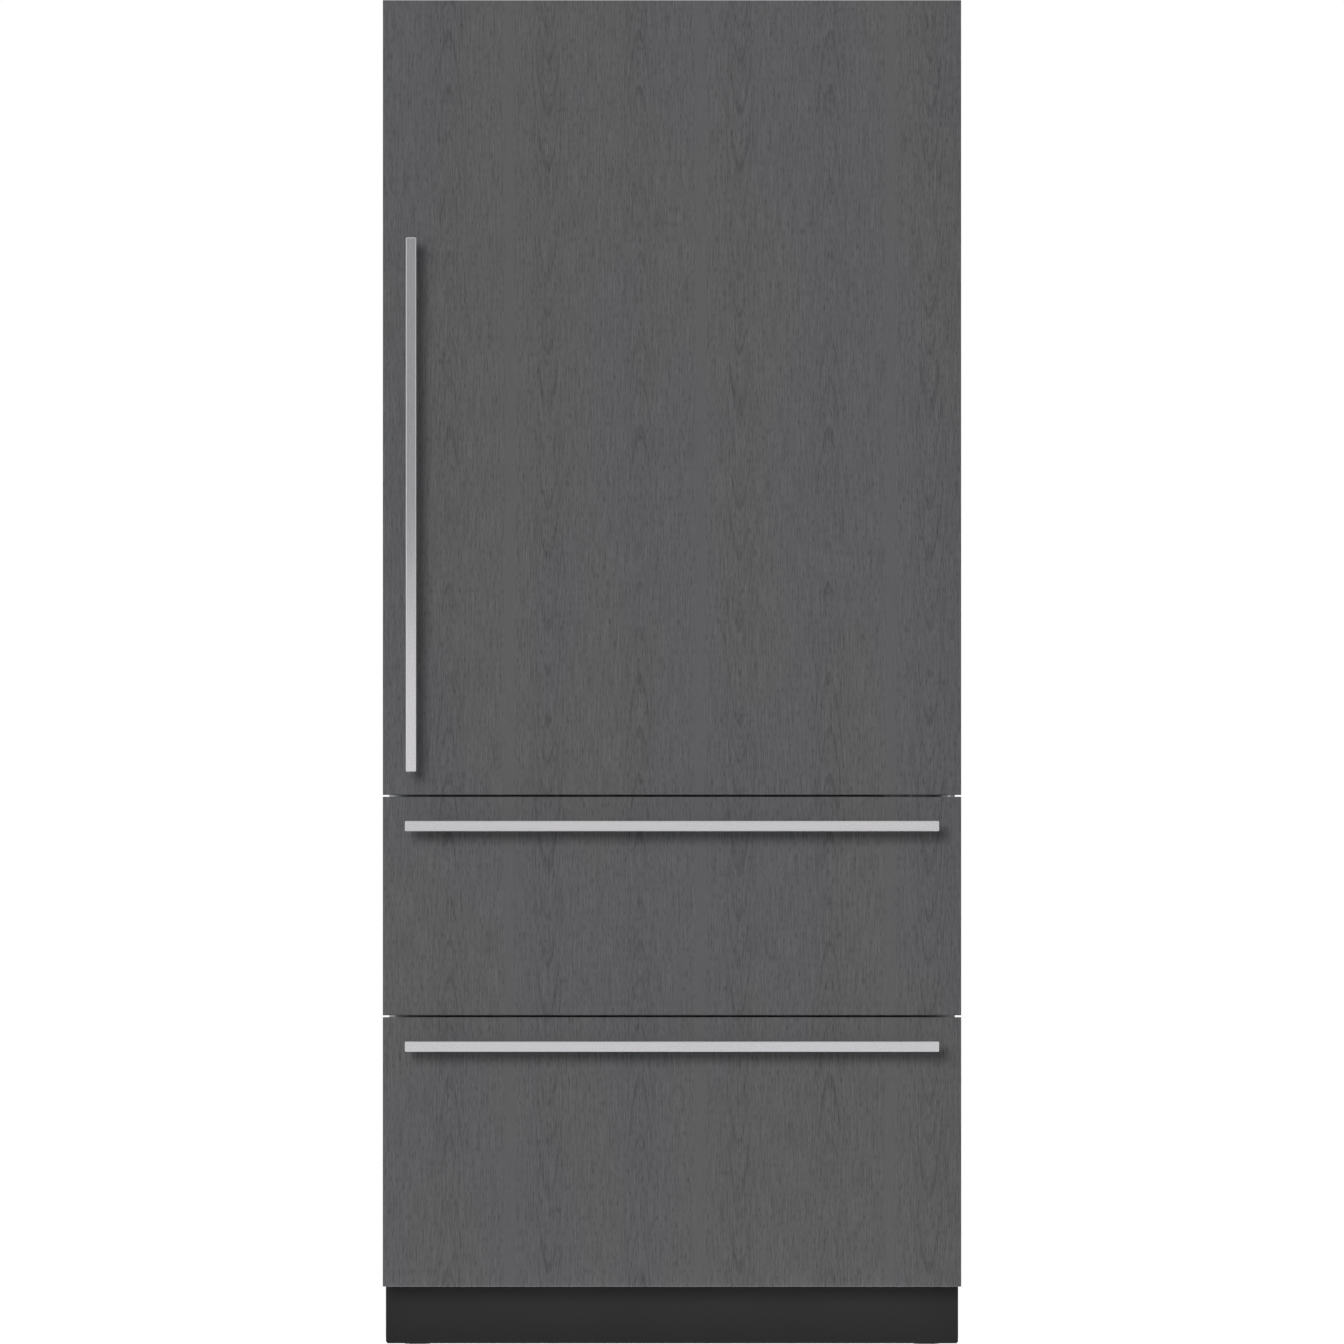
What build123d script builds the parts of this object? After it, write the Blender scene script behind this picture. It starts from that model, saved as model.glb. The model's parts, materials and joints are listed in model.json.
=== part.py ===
from build123d import *
import math
import os

# A panel-ready bottom freezer refrigerator: one tall door over two freezer drawers,
# with the cooling machinery on top behind the upper part of the door panel.
# Millimetres. The front faces -Y, +X is to the right and +Z is up. The origin is on the
# floor under the middle of the whole object, handles included.

# Outside sizes
panel_overhang = 9.5
panel_thickness = 19.0
panel_gap = 3.0
panel_edge = 1.0
kick_height = 90.0
lower_panel_height = 423.0
upper_panel_height = 343.0
door_panel_height = 1248.0
body_depth = 610.0
cabinet_width = 889.0
top_setback = 6.0

# Handles: a square bar on two round posts
handle_reach = 57.0
handle_bar = 16.0
handle_edge = 1.0
handle_end_inset = 35.0
handle_post_radius = 7.0
handle_post_inset = 51.0
door_handle_side = 44.5
door_handle_rise = 36.0
drawer_handle_drop = 46.5

# Fronts: the insulated leaf behind each panel, and its gasket
core_thickness = 52.5
core_side_inset = 4.5
core_rise = 6.0
pan_sheet = 1.0
leaf_edge = 2.0
panel_brace = (46.0, 14.0)
panel_brace_inset = 184.0
panel_brace_drop = 34.0
gasket_height = 12.0
gasket_width = 16.0
gasket_side_lap = 27.5
gasket_lip = 1.5
seal_clearance = 0.3

# Cabinet walls
sheet = 1.0
frame_sheet = 1.2
liner_wall = 2.0
liner_corner = 12.0
side_wall = 48.0
floor_wall = 50.0
rear_wall = 61.5
ceiling_wall = 50.0
drawer_rail_height = 46.0
drawer_rail_depth = 42.0
drawer_rail_wall = 1.5
mullion_height = 53.0
machine_height = 204.0

# Base
base_height = 100.0
base_plate = 3.0
rail_inset = 44.5
rail_width = 32.0
rail_wall = 3.0
rail_lift = 14.0
kick_overhang = 5.0
kick_recess = 65.0
kick_sheet = 3.0
kick_return = 15.0
kick_lift = 1.0
kick_corner = 3.0
foot_setback = 20.0
foot_radius = 20.0
foot_pad = 10.0
foot_taper = 20.0
foot_sides = 8
foot_stud_radius = 6.0
foot_nut = 18.0
foot_block = 15.0
foot_block_rise = 55.0
thread_clearance = 0.2
roller_radius = 24.0
roller_width = 18.0
roller_hub_radius = 9.0
roller_setback = 70.0
axle_radius = 4.0
running_clearance = 0.05
side_clearance = 0.3

# Hinge of the tall door
hinge_inset = 12.0
hinge_behind_panel = 10.5
hinge_pin_radius = 5.0
hinge_plate = 5.0
hinge_knuckle = 9.0
hinge_drop = 0.5
hinge_leaf = 3.0
hinge_leaf_drop = 3.0
hinge_pin_gap = 3.0
hinge_arm_gap = 3.0
hinge_low_leaf_height = 15.0
hinge_low_leaf_width = 110.0
hinge_top_leaf_height = 46.0
hinge_top_leaf_width = 44.0
bush_wall = 3.0
bush_depth = 18.0
bush_flange = 2.0
bush_fit = 0.1
door_top_drop = 8.0

# Sliding drawers
slide_height = 46.0
slide_length = 400.0
slide_sheet = 1.5
slide_depth = 14.0
slide_clearance = 0.3
slide_setback = 10.0
slide_step = 2.2
slide_ledge = 10.0
slide_tab = 26.0
drawer_plug = 14.0
drawer_plug_margin = 22.0
plug_taper = 15.0
tub_wall = 3.0
tub_floor_gap = 11.0
tub_side_gap = 2.0
tub_setback = 26.0
tub_length = 372.0
slide_drop = 50.0

# Air covers and evaporators behind the compartments
air_cover_depth = 50.0
air_cover_side_gap = 96.5
air_cover_wall = 4.5
air_cover_edge = 4.0
guard_bar = 5.0
guard_disc_radius = 13.0
air_slot = (140.0, 9.0)
air_slot_pitch = 130.0
air_slot_side_inset = 114.0
air_cover_floor_gap = 18.0
air_cover_top_gap = 14.0
evaporator_width = 420.0
evaporator_height = 150.0
evaporator_depth = 34.0
evaporator_fins = 6
fin_thickness = 1.6

# Fans and their motors
motor_radius = 18.0
motor_length = 24.0
motor_shaft_radius = 2.5
motor_shaft_length = 20.0
fan_hub_radius = 15.0
fan_hub_length = 16.0
fan_blades = 4
fan_blade_thickness = 1.6
fan_blade_overlap = 3.0
fan_root_chord = 14.0
fan_twist = 18.0
fan_tip_chord_share = 0.75
fan_tip_pitch = 26.0
evaporator_fan_radius = 46.0
condenser_fan_radius = 70.0
fan_tip_clearance = 3.0
fan_hub_gap = 1.0

# Inside the refrigerator
track_inset = 50.0
track_width = 20.0
track_depth = 6.0
track_slot_pitch = 75.0
track_slot = (5.0, 16.0)
shelf_side_gap = 11.5
shelf_bin_gap = 23.0
shelf_pane = 4.0
shelf_trim = 9.0
shelf_trim_height = 16.0
shelf_nose = 3.0
shelf_arm = 4.0
shelf_arm_root = 52.0
shelf_arm_tip = 12.0
shelf_clearance = 3.0
shelf_count = 3
crisper_height = 200.0
crisper_cover_rise = 232.0
crisper_cover_thickness = 14.0
crisper_door_gap = 18.0
crisper_travel = 95.0
crisper_wall = 2.5
crisper_rim = 8.0
crisper_lip = 10.0
crisper_grip = 30.0
crisper_side_plate = 3.0
crisper_runner = 4.0
light_bar_width = 14.0
light_bar_depth = 6.0
light_bar_edge = 2.0
light_bar_setback = 46.0
control_panel_size = (240.0, 46.0, 26.0)
control_panel_setback = 10.0

# Inside of the door
dyke_side_gap = 8.5
dyke_width = 16.0
dyke_depth = 30.0
dyke_margin = 18.0
dyke_taper = 4.0
bin_depth = 94.0
bin_height = 86.0
bin_wall = 2.5
bin_corner = 16.0
bin_first_rise = 262.0
bin_top_drop = 233.0
dairy_width = 330.0
dairy_height = 92.0
dairy_depth = 88.0
dairy_drop = 92.0
dairy_pin_radius = 2.0
dairy_lid_sheet = 2.0
dairy_flap = 44.0
dairy_play = 0.5

# Machine compartment
tray_sheet = 1.2
tray_lip = 14.0
grille_side_inset = 59.5
grille_margin = 8.0
grille_depth = 12.0
grille_border = 14.0
grille_edge = 2.0
grille_vanes = 8
grille_vane_thickness = 2.0
grille_vane_inset = 1.0
compressor_radius = 72.0
compressor_height = 150.0
compressor_dome = 24.0
compressor_shoulder = 7.0
compressor_side_inset = 209.5
compressor_back_inset = 183.5
compressor_foot = (196.0, 132.0)
stub_radius = 5.0
stub_length = 22.0
stub_rises = (45.0, 105.0)
compressor_foot_sheet = 3.0
mount_height = 20.0
mount_radius = 12.0
mount_neck_radius = 6.0
mount_sides = 8
mount_inset = 14.0
coil_width = 270.0
coil_height = 172.0
coil_depth = 44.0
coil_side_inset = 219.5
coil_setback = 28.0
coil_fins = 10
coil_tube_radius = 4.0
coil_bend_radius = 12.0
coil_bends = 2
coil_end_plate = 2.0
shroud_sheet = 2.0
shroud_duct = 26.0
shroud_strut = 8.0
shroud_ring = 3.0
shroud_post_lap = 4.0
control_box_size = (170.0, 190.0, 84.0)
control_box_side_inset = 134.5
control_box_edge = 3.0
inlet_size = (48.0, 30.0)
inlet_wall = 5.0
inlet_depth = 16.0

# Vents in the rear cover, beside the control box
vent_rows = 3
vent_columns = 4
vent_size = (90.0, 8.0)
vent_pitch = (108.0, 24.0)
vent_side_inset = 327.5

# Fixing holes
anchor_hole_radius = 3.5
anchor_spacing = 120.0
anchor_setback = 60.0
tip_hole_side_inset = 144.5
tip_hole_pitch = 40.0
tip_hole_setback = 60.0

# Depths, from the front to the back
front_y = -(body_depth + handle_reach) / 2
back_y = -front_y
panel_face_y = front_y + handle_reach
panel_back_y = panel_face_y + panel_thickness
core_back_y = panel_back_y + core_thickness
frame_face_y = core_back_y + gasket_height
foam_front_y = frame_face_y + frame_sheet
inner_back_y = back_y - rear_wall
kick_face_y = panel_face_y + kick_recess
kick_back_y = kick_face_y + kick_sheet
air_cover_y = inner_back_y - air_cover_depth
compressor_y = back_y - compressor_back_inset
shelf_front_y = core_back_y + bin_depth + shelf_bin_gap
shelf_back_y = air_cover_y - shelf_clearance
crisper_front_y = core_back_y + dyke_depth + crisper_door_gap + crisper_travel + crisper_lip

# Widths
cabinet_half = cabinet_width / 2
opening_half = cabinet_half - side_wall
panel_half = cabinet_half + panel_overhang
handle_length = 2 * (panel_half - handle_end_inset)
core_half_width = cabinet_half - core_side_inset
gasket_half_width = opening_half + gasket_side_lap
panel_brace_x = panel_half - panel_brace_inset
kick_half = cabinet_half + kick_overhang
rail_x = cabinet_half - rail_inset
air_cover_half_width = opening_half - air_cover_side_gap
shelf_half_width = opening_half - shelf_side_gap
track_x = shelf_half_width - track_inset
dyke_half_width = opening_half - dyke_side_gap
grille_half_width = cabinet_half - grille_side_inset
compressor_x = cabinet_half - compressor_side_inset
coil_x = coil_side_inset - cabinet_half
control_box_x = control_box_side_inset - cabinet_half
vent_x = cabinet_half - vent_side_inset
tip_hole_spacing = (2 * (cabinet_half - tip_hole_side_inset), tip_hole_pitch)

# Heights, from the floor up
lower_panel_bottom = kick_height
lower_panel_top = lower_panel_bottom + lower_panel_height
upper_panel_bottom = lower_panel_top + panel_gap
upper_panel_top = upper_panel_bottom + upper_panel_height
door_panel_bottom = upper_panel_top + panel_gap
total_height = door_panel_bottom + door_panel_height
cabinet_top = total_height - top_setback
deck_z = cabinet_top - machine_height
freezer_floor = base_height + floor_wall
rail_bottom = lower_panel_top + panel_gap / 2 - drawer_rail_height / 2
rail_top = rail_bottom + drawer_rail_height
freezer_ceiling = upper_panel_top + panel_gap / 2 - mullion_height / 2
fridge_floor = freezer_ceiling + mullion_height
fridge_ceiling = deck_z - ceiling_wall
tray_top = deck_z + tray_sheet

# Hinge axis and the heights of its two plates
hinge_x = core_half_width - hinge_inset
hinge_y = panel_back_y + hinge_behind_panel
low_plate_top = door_panel_bottom - hinge_drop
door_core_bottom = door_panel_bottom + core_rise
door_core_top = deck_z - door_top_drop
top_plate_bottom = door_core_top + (door_core_bottom - low_plate_top)

# Insulated leaves of the drawers
lower_core = (lower_panel_bottom + core_rise * 2, lower_panel_top - core_rise / 2)
upper_core = (upper_panel_bottom + core_rise / 2, low_plate_top - hinge_plate - core_rise / 2)

# Drawer openings in the cabinet front
lower_opening = (freezer_floor, rail_bottom)
upper_opening = (rail_top, freezer_ceiling)


def middle(low, high):
    """Half way between two values."""
    return (low + high) / 2


def upright(y):
    """A vertical plane that faces the front, at one depth. A negative extrusion goes back from it."""
    return Plane.XZ.offset(-y)


def brick(x, y, z, mode=Mode.ADD):
    """Add or cut the block that fills three ranges, in the part being built."""
    with BuildSketch(Plane.XY.offset(z[0])) as footprint:
        with Locations((middle(*x), middle(*y))):
            Rectangle(x[1] - x[0], y[1] - y[0])
    extrude(footprint.sketch, amount=z[1] - z[0], mode=mode)


def drum(centre, radius, x=None, y=None, z=None, mode=Mode.ADD):
    """Add or cut a cylinder along the one axis whose range is given."""
    if x:
        plane = Plane.YZ.offset(x[0])
        length = x[1] - x[0]
    elif y:
        plane = upright(y[0])
        length = y[0] - y[1]
    else:
        plane = Plane.XY.offset(z[0])
        length = z[1] - z[0]
    with BuildSketch(plane) as disc:
        with Locations(centre):
            Circle(radius)
    extrude(disc.sketch, amount=length, mode=mode)


# Base frame: floor plate, two channel rails with foot blocks, and the rear axles
foot_y = kick_back_y + foot_setback + foot_pad / 2
roller_y = back_y - roller_setback
rail_top_z = base_height - base_plate

with BuildPart() as base_frame:
    brick((-cabinet_half, cabinet_half), (frame_face_y, back_y), (rail_top_z, base_height))
    for side in (-1, 1):
        with BuildSketch(upright(kick_back_y)) as channel:
            with Locations((side * rail_x, middle(rail_lift, rail_top_z))):
                Rectangle(rail_width, rail_top_z - rail_lift)
            with Locations((side * rail_x, middle(rail_lift, rail_top_z) - rail_wall)):
                Rectangle(rail_width - 2 * rail_wall, rail_top_z - rail_lift, mode=Mode.SUBTRACT)
        extrude(amount=kick_back_y - back_y)
        inner = (side * rail_x - rail_width / 2 + rail_wall, side * rail_x + rail_width / 2 - rail_wall)
        brick(inner, (foot_y - foot_radius, foot_y + foot_radius),
              (foot_block_rise, foot_block_rise + foot_block))
        drum((side * rail_x, foot_y), foot_stud_radius + thread_clearance,
             z=(foot_block_rise, foot_block_rise + foot_block), mode=Mode.SUBTRACT)
        drum((roller_y, roller_radius), axle_radius,
             x=(side * rail_x - rail_width / 2, side * rail_x + rail_width / 2))

with BuildPart() as levelling_feet:
    for side in (-1, 1):
        with BuildSketch() as pad:
            with Locations((side * rail_x, foot_y)):
                RegularPolygon(foot_radius, foot_sides)
        extrude(amount=foot_pad, taper=foot_taper)
        drum((side * rail_x, foot_y), foot_stud_radius,
             z=(foot_pad / 2, foot_block_rise + foot_block + foot_pad))
        with BuildSketch(Plane.XY.offset(foot_block_rise - foot_pad)) as nut:
            with Locations((side * rail_x, foot_y)):
                RegularPolygon(foot_nut / 2, 6, major_radius=False)
        extrude(amount=foot_pad)


def roller(side):
    """One rear wheel, with a hub that keeps it in the middle of its channel."""
    hub = rail_width / 2 - rail_wall - side_clearance
    with BuildPart() as wheel:
        drum((roller_y, roller_radius), roller_hub_radius, x=(side * rail_x - hub, side * rail_x + hub))
        drum((roller_y, roller_radius), roller_radius,
             x=(side * rail_x - roller_width / 2, side * rail_x + roller_width / 2))
        drum((roller_y, roller_radius), axle_radius + running_clearance,
             x=(side * rail_x - hub, side * rail_x + hub), mode=Mode.SUBTRACT)
    return wheel.part


left_roller = roller(-1)
right_roller = roller(1)

with BuildPart() as toe_kick:
    with BuildSketch(upright(kick_face_y)) as face:
        with Locations((0, middle(kick_lift, kick_height))):
            Rectangle(2 * kick_half, kick_height - kick_lift)
        chamfer(face.vertices().group_by(Axis.Z)[0], kick_corner)
    extrude(amount=-kick_sheet)
    for side in (-1, 1):
        outer = side * kick_half
        inner = side * (kick_half - kick_sheet)
        brick((min(outer, inner), max(outer, inner)), (kick_back_y, kick_back_y + kick_return),
              (kick_lift + kick_corner, kick_height))

# Cabinet shell: flat steel sheets round the foam
with BuildPart() as side_panels:
    for side in (-1, 1):
        outer = side * cabinet_half
        inner = side * (cabinet_half - sheet)
        brick((min(outer, inner), max(outer, inner)), (foam_front_y, back_y),
              (base_height, cabinet_top - sheet))
        for rise in (-anchor_spacing / 2, anchor_spacing / 2):
            drum((foam_front_y + anchor_setback, middle(tray_top, cabinet_top) + rise), anchor_hole_radius,
                 x=(min(outer, inner), max(outer, inner)), mode=Mode.SUBTRACT)

with BuildPart() as top_panel:
    brick((-cabinet_half, cabinet_half), (foam_front_y, back_y), (cabinet_top - sheet, cabinet_top))
    with Locations((0, back_y - tip_hole_setback, cabinet_top)):
        with GridLocations(tip_hole_spacing[0], tip_hole_spacing[1], 2, 2):
            Hole(anchor_hole_radius, depth=sheet)

inlet_z = tray_top + control_box_size[2] / 2
with BuildPart() as rear_cover:
    brick((sheet - cabinet_half, cabinet_half - sheet), (back_y - sheet, back_y),
          (base_height, cabinet_top - sheet))
    with BuildSketch(upright(back_y)) as vents:
        with Locations((vent_x, middle(tray_top, cabinet_top))):
            with GridLocations(vent_pitch[0], vent_pitch[1], vent_columns, vent_rows):
                Rectangle(*vent_size)
        with Locations((control_box_x, inlet_z)):
            Rectangle(inlet_size[0] + 2 * side_clearance, inlet_size[1] + 2 * side_clearance)
    extrude(amount=sheet, mode=Mode.SUBTRACT)

# Steel face that the gaskets seal against, with the three openings and the grille opening
grille_z = (deck_z + grille_margin, cabinet_top - grille_margin)
with BuildPart() as front_frame:
    brick((-cabinet_half, cabinet_half), (frame_face_y, foam_front_y), (base_height, cabinet_top))
    with BuildSketch(upright(frame_face_y)) as windows:
        for low, high in ((freezer_floor, freezer_ceiling), (fridge_floor, fridge_ceiling)):
            with Locations((0, middle(low, high))):
                RectangleRounded(2 * opening_half, high - low, liner_corner)
        with Locations((0, middle(*grille_z))):
            Rectangle(2 * (grille_half_width - grille_border), grille_z[1] - grille_z[0] - 2 * grille_border)
    extrude(amount=-frame_sheet, mode=Mode.SUBTRACT)
    brick((-opening_half, opening_half), (frame_face_y, foam_front_y), (rail_bottom, rail_top))

with BuildPart() as drawer_rail:
    with BuildSketch(Plane.YZ.offset(-opening_half)) as tube:
        with Locations((foam_front_y + drawer_rail_depth / 2, middle(rail_bottom, rail_top))):
            Rectangle(drawer_rail_depth, drawer_rail_height)
            Rectangle(drawer_rail_depth - 2 * drawer_rail_wall, drawer_rail_height - 2 * drawer_rail_wall,
                      mode=Mode.SUBTRACT)
    extrude(amount=2 * opening_half)


def cavity_block(low, high, grow):
    """The room inside a compartment, grown on every closed side."""
    with BuildPart() as block:
        with BuildSketch(upright(foam_front_y)) as mouth:
            with Locations((0, middle(low, high))):
                RectangleRounded(2 * (opening_half + grow), high - low + 2 * grow, liner_corner + grow)
        extrude(amount=foam_front_y - inner_back_y - grow)
    return block.part


def compartment_liner(low, high):
    """Thin moulded lining of a compartment, open at the front."""
    outside = cavity_block(low, high, liner_wall)
    inside = cavity_block(low, high, 0)
    with BuildPart() as lining:
        add(outside)
        add(inside, mode=Mode.SUBTRACT)
    return lining.part


refrigerator_liner = compartment_liner(fridge_floor, fridge_ceiling)
freezer_liner = compartment_liner(freezer_floor, freezer_ceiling)
fridge_cavity = cavity_block(fridge_floor, fridge_ceiling, liner_wall)
freezer_cavity = cavity_block(freezer_floor, freezer_ceiling, liner_wall)

with BuildPart() as cabinet_foam:
    brick((sheet - cabinet_half, cabinet_half - sheet), (foam_front_y, back_y - sheet), (base_height, deck_z))
    add(fridge_cavity, mode=Mode.SUBTRACT)
    add(freezer_cavity, mode=Mode.SUBTRACT)

# Hinge brackets, each a plate with a riveted pin and a leaf on the cabinet face
leaf_right = cabinet_half - 2 * sheet
with BuildPart() as hinge_brackets:
    for plate_z, leaf_z, leaf_width, pin_z in (
        ((low_plate_top - hinge_plate, low_plate_top),
         (low_plate_top - hinge_plate - hinge_leaf_drop,
          low_plate_top - hinge_plate - hinge_leaf_drop + hinge_low_leaf_height),
         hinge_low_leaf_width,
         (low_plate_top - hinge_plate, door_core_bottom + bush_depth - hinge_pin_gap)),
        ((top_plate_bottom, top_plate_bottom + hinge_plate),
         (top_plate_bottom, top_plate_bottom + hinge_top_leaf_height),
         hinge_top_leaf_width,
         (door_core_top - bush_depth + hinge_pin_gap, top_plate_bottom + hinge_plate)),
    ):
        arm = (leaf_right - hinge_top_leaf_width, hinge_x - hinge_arm_gap)
        with BuildSketch(Plane.XY.offset(plate_z[0])) as plate:
            with Locations((hinge_x, hinge_y)):
                Circle(hinge_knuckle)
            with Locations((middle(*arm), frame_face_y - hinge_leaf)):
                Rectangle(arm[1] - arm[0], 2 * hinge_leaf)
            make_hull()
        extrude(amount=hinge_plate)
        brick((leaf_right - leaf_width, leaf_right), (frame_face_y - hinge_leaf, frame_face_y), leaf_z)
        drum((hinge_x, hinge_y), hinge_pin_radius, z=pin_z)


# Leaves of the door and the drawers
def front_panel(low, high):
    """A furniture board with its front edges eased."""
    with BuildPart() as board:
        brick((-panel_half, panel_half), (panel_face_y, panel_back_y), (low, high))
        chamfer(board.faces().sort_by(Axis.Y)[0].edges(), panel_edge)
    return board.part


def gasket_ring(low, high):
    """Folded seal round a leaf's inner face, with a foot on the leaf and a lip against the cabinet."""
    foot_y0 = core_back_y
    lip_y1 = frame_face_y - seal_clearance
    with BuildPart() as ring:
        for y0, y1, inset in (
            (foot_y0, middle(foot_y0, lip_y1) - gasket_lip, 0),
            (middle(foot_y0, lip_y1) - gasket_lip, middle(foot_y0, lip_y1) + gasket_lip, 2 * gasket_lip),
            (middle(foot_y0, lip_y1) + gasket_lip, lip_y1, 0),
        ):
            with BuildSketch(upright(y0)) as loop:
                with Locations((0, middle(low, high))):
                    Rectangle(2 * (gasket_half_width - inset), high - low - 2 * inset)
                    Rectangle(2 * (gasket_half_width - gasket_width + inset),
                              high - low - 2 * (gasket_width - inset), mode=Mode.SUBTRACT)
            extrude(loop.sketch, amount=y0 - y1)
    return ring.part


def pull_handle(x, z, upright_bar):
    """A square bar on two round posts, its middle at x and z on the panel's face."""
    half = handle_length / 2
    with BuildPart() as pull:
        if upright_bar:
            brick((x - handle_bar / 2, x + handle_bar / 2), (front_y, front_y + handle_bar),
                  (z - half, z + half))
            spots = ((x, z - half + handle_post_inset), (x, z + half - handle_post_inset))
        else:
            brick((x - half, x + half), (front_y, front_y + handle_bar),
                  (z - handle_bar / 2, z + handle_bar / 2))
            spots = ((x - half + handle_post_inset, z), (x + half - handle_post_inset, z))
        chamfer(pull.edges(), handle_edge)
        for spot in spots:
            drum(spot, handle_post_radius, y=(front_y + handle_bar, panel_face_y))
    return pull.part


door_panel = front_panel(door_panel_bottom, total_height)
door_handle = pull_handle(
    door_handle_side - panel_half, door_panel_bottom + door_handle_rise + handle_length / 2, True)
door_gasket_z = (fridge_floor - gasket_width - gasket_lip, fridge_ceiling + gasket_width + 4 * gasket_lip)
door_gasket = gasket_ring(*door_gasket_z)

bush_radius = hinge_pin_radius + running_clearance + bush_wall
with BuildPart() as door_pan:
    brick((-core_half_width, core_half_width), (panel_back_y, core_back_y), (door_core_bottom, door_core_top))
    brick((pan_sheet - core_half_width, core_half_width - pan_sheet), (panel_back_y + pan_sheet, core_back_y),
          (door_core_bottom + pan_sheet, door_core_top - pan_sheet), mode=Mode.SUBTRACT)
    drum((hinge_x, hinge_y), bush_radius + bush_fit, z=(door_core_bottom, door_core_top), mode=Mode.SUBTRACT)
    for side in (-1, 1):
        brick((side * panel_brace_x - panel_brace[0] / 2, side * panel_brace_x + panel_brace[0] / 2),
              (panel_back_y, panel_back_y + panel_brace[1]), (door_core_top, total_height - panel_brace_drop))
        brick((side * panel_brace_x - panel_brace[0] / 2 + 2 * pan_sheet,
               side * panel_brace_x + panel_brace[0] / 2 - 2 * pan_sheet),
              (panel_back_y + 2 * pan_sheet, panel_back_y + panel_brace[1]),
              (door_core_top + panel_brace[1], total_height - panel_brace_drop), mode=Mode.SUBTRACT)

dyke_z = (fridge_floor + dyke_margin, fridge_ceiling - dyke_margin)
with BuildPart() as door_liner:
    brick((pan_sheet - core_half_width, core_half_width - pan_sheet), (panel_back_y + pan_sheet, core_back_y),
          (door_core_bottom + pan_sheet, door_core_top - pan_sheet))
    with BuildSketch(upright(core_back_y)) as dyke:
        with Locations((0, middle(*dyke_z))):
            RectangleRounded(2 * dyke_half_width, dyke_z[1] - dyke_z[0], dyke_width)
            Rectangle(2 * (dyke_half_width - dyke_width), dyke_z[1] - dyke_z[0] - 2 * dyke_width,
                      mode=Mode.SUBTRACT)
    extrude(amount=-dyke_depth, taper=dyke_taper)
    for pocket in ((door_core_bottom, door_core_bottom + bush_depth),
                   (door_core_top - bush_depth, door_core_top)):
        drum((hinge_x, hinge_y), bush_radius + bush_fit, z=pocket, mode=Mode.SUBTRACT)

with BuildPart() as hinge_bushes:
    for outer_face, inner_end, plate_face in (
        (door_core_bottom, door_core_bottom + bush_depth, low_plate_top + seal_clearance),
        (door_core_top, door_core_top - bush_depth, top_plate_bottom - seal_clearance),
    ):
        drum((hinge_x, hinge_y), bush_radius, z=(min(outer_face, inner_end), max(outer_face, inner_end)))
        drum((hinge_x, hinge_y), bush_radius + bush_flange,
             z=(min(outer_face, plate_face), max(outer_face, plate_face)))
        drum((hinge_x, hinge_y), hinge_pin_radius + running_clearance,
             z=(min(inner_end, plate_face), max(inner_end, plate_face)), mode=Mode.SUBTRACT)

# Door bins and the dairy box hang between the raised edges of the liner
bin_half = dyke_half_width - dyke_width


def tray(x, y, z, wall, corner):
    """An open-topped box with its two inner corners rounded, cut into the part being built."""
    for grow, low, mode in ((0, z[0], Mode.ADD), (wall, z[0] + wall, Mode.SUBTRACT)):
        with BuildSketch(Plane.XY.offset(low)) as outline:
            with Locations((middle(*x), middle(*y))):
                Rectangle(x[1] - x[0] - 2 * grow, y[1] - y[0] - 2 * grow)
            fillet(outline.vertices().group_by(Axis.Y)[-1], corner - grow)
        extrude(outline.sketch, amount=z[1] - low, mode=mode)


dairy_bottom = fridge_ceiling - dyke_margin - dyke_width - dairy_drop - dairy_height
dairy_x = (-bin_half, dairy_width - bin_half)
bin_top_rise = fridge_ceiling - fridge_floor - bin_top_drop
bin_rises = (bin_first_rise, middle(bin_first_rise, bin_top_rise), bin_top_rise)
with BuildPart() as door_bins:
    for rise in bin_rises:
        right = bin_half
        left = -bin_half if rise < bin_rises[-1] else dairy_x[1] + bin_wall
        tray((left, right), (core_back_y, core_back_y + bin_depth),
             (fridge_floor + rise, fridge_floor + rise + bin_height), bin_wall, bin_corner)

dairy_axis_y = core_back_y + 2 * dairy_pin_radius + bin_wall
dairy_axis_z = dairy_bottom + dairy_height + dairy_pin_radius
with BuildPart() as dairy_box:
    tray(dairy_x, (core_back_y, core_back_y + dairy_depth),
         (dairy_bottom, dairy_bottom + dairy_height - dairy_flap), bin_wall, bin_corner)
    for x in dairy_x:
        cheek = (x, x + bin_wall) if x == dairy_x[0] else (x - bin_wall, x)
        with BuildSketch(Plane.YZ.offset(cheek[0])) as ear:
            with BuildLine() as edge:
                top = dairy_axis_z + 3 * dairy_pin_radius
                shoulder = dairy_bottom + dairy_height - dairy_flap
                Polyline(
                    (core_back_y, shoulder),
                    (core_back_y, top),
                    (dairy_axis_y + 3 * dairy_pin_radius, top),
                    (core_back_y + dairy_depth - bin_corner,
                     dairy_bottom + dairy_height - 3 * dairy_lid_sheet),
                    (core_back_y + dairy_depth - bin_corner, shoulder),
                    close=True,
                )
            make_face()
        extrude(amount=bin_wall)
        drum((dairy_axis_y, dairy_axis_z), dairy_pin_radius + running_clearance, x=cheek, mode=Mode.SUBTRACT)

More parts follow.
